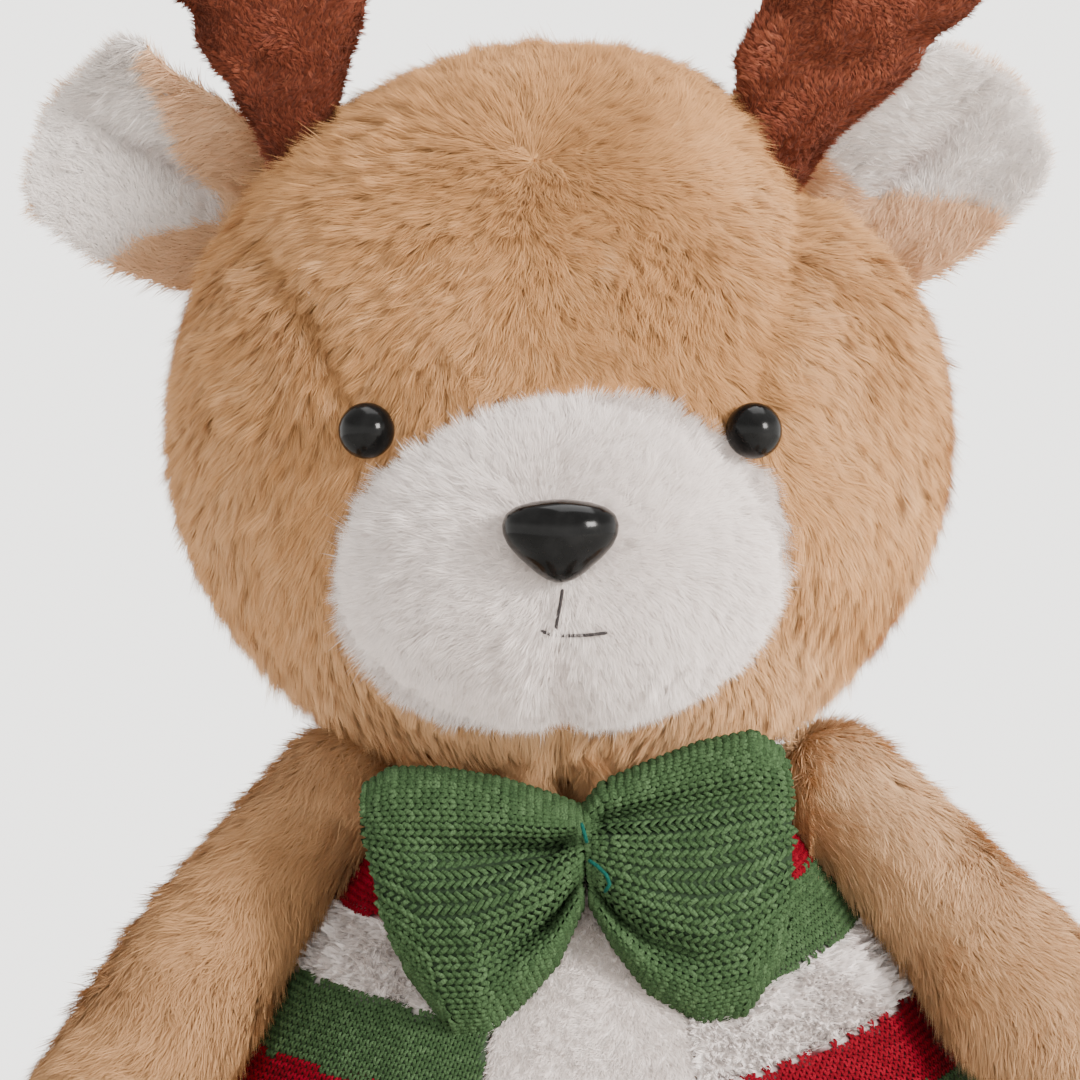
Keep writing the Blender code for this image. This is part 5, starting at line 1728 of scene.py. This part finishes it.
bow_halves = []
for name, side in SIDES:
    half = bow_half(name)
    # painted shade: the ground between the bow's stitches is darker than the green wool
    ground = backing(f"bow_ground_painted_shade_{name}", (0.014, 0.028, 0.012))
    dress(half, "bow", "green_knit", ground, "bow_tie")
    stitches(f"bow_{name}_stitches", bow_stitches(name), BOW_YARN, "bow", "green_knit", GREEN_YARN,
             111 + side)
    bow_halves.append(half)
print("bow tie ready")

# %% [markdown]
# Eyes and nose are moulded beads with a shank that goes through the cloth. They are the only
# glossy things on the toy, so their curve has to be perfectly smooth. Black with a low roughness
# gives the small sharp highlight, and a fine noise in both keeps it from looking new.

# %% Beads
BEAD_BLACK, tree, principled = new_material("black_bead")
place = shader(tree, "ShaderNodeTexCoord").outputs["Object"]
dust = shader(tree, "ShaderNodeTexNoise", [("Vector", place), ("Scale", 240.0), ("Detail", 4.0)])
black = ramp(tree, dust.outputs["Fac"], [(0.4, grey(0.003)), (0.75, grey(0.007))])
dull = ramp(tree, dust.outputs["Fac"], [(0.3, grey(0.12)), (0.8, grey(0.22))])
tree.links.new(black, principled.inputs["Base Color"])
tree.links.new(dull, principled.inputs["Roughness"])
principled.inputs["Specular IOR Level"].default_value = 0.12

for name, side in SIDES:
    bm = ball(40, 28)
    bmesh.ops.scale(bm, verts=bm.verts, vec=Vector.Fill(3, EYE_RADIUS))
    bmesh.ops.translate(bm, verts=bm.verts, vec=Vector(eyes[name]))
    dress(put(f"eye_bead_{name}", bm), "head", "black_bead", BEAD_BLACK, f"eye_{name}")

NOSE_HEIGHT = 0.0164
NOSE_HALF_WIDTH = 0.0115
NOSE_OUT = 0.0095
NOSE_SHARES = (
    (0.0, 0.08), (0.04, 0.24), (0.11, 0.40), (0.3, 0.71), (0.45, 0.90), (0.58, 0.985),
    (0.7, 1.0), (0.82, 0.94), (0.91, 0.77), (0.97, 0.48), (1.0, 0.12),
)
low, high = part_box("nose")
bead_middle = np.array([(low.x + high.x) / 2, low.y + NOSE_OUT, (low.z + high.z) / 2])
bm = ball(64, 48)
for vert in bm.verts:
    x, y, z = vert.co
    level = (z + 1) / 2
    ring = max(math.sqrt(max(1 - z * z, 0.0)), SMALL)
    wide = float(between(NOSE_SHARES, level))
    deep = ring**0.75 * (0.70 + 0.30 * level)
    x, y = x / ring * wide * NOSE_HALF_WIDTH, y / ring * deep * NOSE_OUT
    vert.co = Vector((x, y, (level - 0.5) * NOSE_HEIGHT))
soften(bm, 0.5)
bmesh.ops.translate(bm, verts=bm.verts, vec=Vector(bead_middle))
bmesh.ops.recalc_face_normals(bm, faces=bm.faces)
dress(put("nose_bead", bm), "head", "black_bead", BEAD_BLACK, "nose")
print("the nose is", 2 * NOSE_HALF_WIDTH, "m wide")

# %% [markdown]
# Two threads show: a dark one drawn through the muzzle as a mouth, and a teal one tied round the
# bow's middle. Each is a thin tube laid along a line of the photograph, at the depth where a ray
# meets the piece under it.

# %% Laying a thread
THREAD_SIDES = 8
THREAD_END = 0.55
IN_FRONT = -0.4
BEHIND_BOW_FRONT = 0.004


def laid_thread(name, line, radius, under, lift):
    """A thin tube along a line of the photograph, on the front of the pieces under it."""
    surfaces = []
    for piece in under:
        bm = bmesh.new()
        bm.from_mesh(piece.data)
        surfaces.append(surface_of(bm))
    steps = np.linspace(0, len(line) - 1, 6 * len(line))
    spots = []
    for px, py in zip(*(np.interp(steps, range(len(line)), values) for values in zip(*line))):
        x, z = seen(px, py)
        start = Vector((x, IN_FRONT, z))
        hits = [surface.ray_cast(start, Vector((0, 1, 0)))[0] for surface in surfaces]
        missed = spots[-1].y + lift if spots else BOW_FRONT + BEHIND_BOW_FRONT
        depths = [hit.y for hit in hits if hit is not None] or [missed]
        spots.append(Vector((x, min(depths) - lift, z)))
    bm = bmesh.new()
    rings = []
    for number, spot in enumerate(spots):
        ahead = spots[min(number + 1, len(spots) - 1)] - spots[max(number - 1, 0)]
        square = ahead.cross(Vector((0, 1, 0))).normalized()
        over = square.cross(ahead).normalized()
        thick = radius * (THREAD_END if number in (0, len(spots) - 1) else 1.0)
        rings.append([
            bm.verts.new(spot + (square * math.cos(turn) + over * math.sin(turn)) * thick)
            for turn in np.linspace(0, math.tau, THREAD_SIDES, endpoint=False)
        ])
    for first, second in zip(rings, rings[1:]):
        for k in range(THREAD_SIDES):
            after = (k + 1) % THREAD_SIDES
            bm.faces.new((first[k], first[after], second[after], second[k]))
    bm.faces.new(rings[0])
    bm.faces.new(rings[-1])
    bmesh.ops.recalc_face_normals(bm, faces=bm.faces)
    return put(name, bm)


print("threads have", THREAD_SIDES, "sides")

# %% [markdown]
# The mouth is one drop from the nose and one smile, sewn through the muzzle, so it lies almost
# buried in the white pile. The teal thread's end hangs down from the gather over the knit.

# %% Threads
MOUTH_LINES = {
    "drop": ((562, 588), (560, 602), (557, 618), (555, 631)),
    "smile": ((541, 629), (553, 634), (572, 634), (590, 633), (606, 631)),
}
MOUTH_RADIUS = 0.00034
MOUTH_LIFT = 0.0027
BOW_TIE_LINES = {
    "end": ((581, 820), (586, 838), (588, 857), (597, 863), (606, 872), (609, 881), (604, 889)),
}
BOW_TIE_RADIUS = 0.00038
BOW_TIE_LIFT = 0.0015
MOUTH_THREAD = backing("mouth_thread_twist", (0.035, 0.030, 0.030), 2500.0)
TEAL_THREAD = backing("teal_thread_twist", (0.0, 0.060, 0.045), 2500.0)
for key, line in MOUTH_LINES.items():
    made = laid_thread(f"mouth_{key}", line, MOUTH_RADIUS, [muzzle], MOUTH_LIFT)
    dress(made, "head", "grey_thread", MOUTH_THREAD, "mouth_stitching")
for key, line in BOW_TIE_LINES.items():
    made = laid_thread(f"bow_tie_thread_{key}", line, BOW_TIE_RADIUS, bow_halves, BOW_TIE_LIFT)
    dress(made, "bow", "teal_thread", TEAL_THREAD, "bow_thread")
print("threads laid")

# %% [markdown]
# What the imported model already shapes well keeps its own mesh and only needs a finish. Each of
# its material slots gets one procedural material.

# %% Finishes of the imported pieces
FINISH_COLOURS = {
    "tan_plush": (0.45, 0.26, 0.14),
    "white_plush": (0.75, 0.70, 0.66),
    "brown_pile": (0.15, 0.04, 0.02),
    "vest_knit": (0.07, 0.13, 0.06),
    "green_knit": (0.07, 0.13, 0.06),
    "seam_cloth": (0.40, 0.23, 0.12),
    "stuffing": (0.85, 0.85, 0.83),
    "pellets": (0.70, 0.70, 0.68),
    "black_bead": (0.01, 0.01, 0.01),
    "washer_plastic": (0.60, 0.60, 0.60),
    "grey_thread": (0.05, 0.045, 0.045),
    "teal_thread": (0.0, 0.12, 0.12),
}
PLAIN_WEAVE = 700.0
finishes = {slot: backing(f"{slot}_plain", colour, PLAIN_WEAVE) for slot, colour in FINISH_COLOURS.items()}
for part in frame["record"]["subparts"]:
    node = frame["nodes"][part["node"]]
    node.data.materials.clear()
    node.data.materials.append(finishes[part["material_slot"]])

# %% [markdown]
# The photograph was taken from far away, since the toy shows no perspective: a long lens far
# back gives the same view. It frames the face, whose plane lies a little in front of the
# middle. The lens follows from the width that this plane shows.

# %% Camera
SENSOR = 36
FIELD = 0.216
FACE_FORWARD = 0.03
CAMERA_BACK = 3.2
camera = bpy.data.objects.new("camera", bpy.data.cameras.new("camera"))
scene.collection.objects.link(camera)
camera_x, camera_z = seen(540, 540)
camera.location = (camera_x, -CAMERA_BACK, camera_z)
camera.rotation_euler = (math.radians(90), 0, 0)
camera.data.sensor_width = SENSOR
camera.data.lens = SENSOR * (CAMERA_BACK - FACE_FORWARD) / FIELD
camera.data.clip_end = 20
scene.camera = camera
print("lens", round(camera.data.lens), "mm")

# %% [markdown]
# The photograph's light is soft: a pale room from all sides, a larger lamp from the right and
# above, and hardly any shadow. A bright world with two soft lamps does that. The toy sits on a
# round floor in the room's own pale tone.

# %% Lights and stage
FLOOR_RADIUS = 1.3
PALE = (0.80, 0.785, 0.755)
SKY_SHADE = 0.38
SKY_STRENGTH = 3.8
floor_material, _, floor_shader = new_material("pale_floor")
floor_shader.inputs["Base Color"].default_value = (*PALE, 1.0)
floor_shader.inputs["Roughness"].default_value = 0.95
bm = bmesh.new()
bmesh.ops.create_circle(bm, cap_ends=True, segments=96, radius=FLOOR_RADIUS)
floor = put("floor", bm)
floor.data.materials.append(floor_material)
floor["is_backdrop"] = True


def softbox(name, place, aim, size, watts, colour):
    made = bpy.data.objects.new(name, bpy.data.lights.new(name, "AREA"))
    scene.collection.objects.link(made)
    made.location = place
    made.rotation_euler = (Vector(aim) - Vector(place)).to_track_quat("-Z", "Y").to_euler()
    made.data.shape = "RECTANGLE"
    made.data.size, made.data.size_y = size
    made.data.energy = watts
    made.data.color = colour


softbox("key", (1.3, -1.2, 0.8), (0, 0, 0.2), (0.5, 0.5), 70, (1.0, 0.96, 0.92))
softbox("top", (0.2, 0.1, 1.5), (0, 0, 0.2), (0.9, 0.9), 14, (1.0, 1.0, 1.0))
world = bpy.data.worlds.new("studio")
world.use_nodes = True
towards = shader(world.node_tree, "ShaderNodeTexCoord").outputs["Generated"]
height = shader(world.node_tree, "ShaderNodeSeparateXYZ", [(0, towards)]).outputs[2]
level = shader(world.node_tree, "ShaderNodeMath", [(0, height)], operation="ABSOLUTE").outputs[0]
sky = ramp(world.node_tree, level, [(0.16, PALE), (0.42, tuple(SKY_SHADE * value for value in PALE))])
world.node_tree.links.new(sky, world.node_tree.nodes["Background"].inputs[0])
world.node_tree.nodes["Background"].inputs[1].default_value = SKY_STRENGTH
scene.world = world
print("floor", 2 * FLOOR_RADIUS, "m across")

# %% [markdown]
# Last, the size of the dressed toy is set beside the imported model's. They should differ by the
# pile's length and no more.

# %% Finish
visual_low, visual_high = (list(corner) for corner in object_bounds())
grown = [(a - b) * 1000 for a, b in zip(cad_low + visual_high, visual_low + cad_high)]
print("grown by", [round(side, 1) for side in grown], "mm")
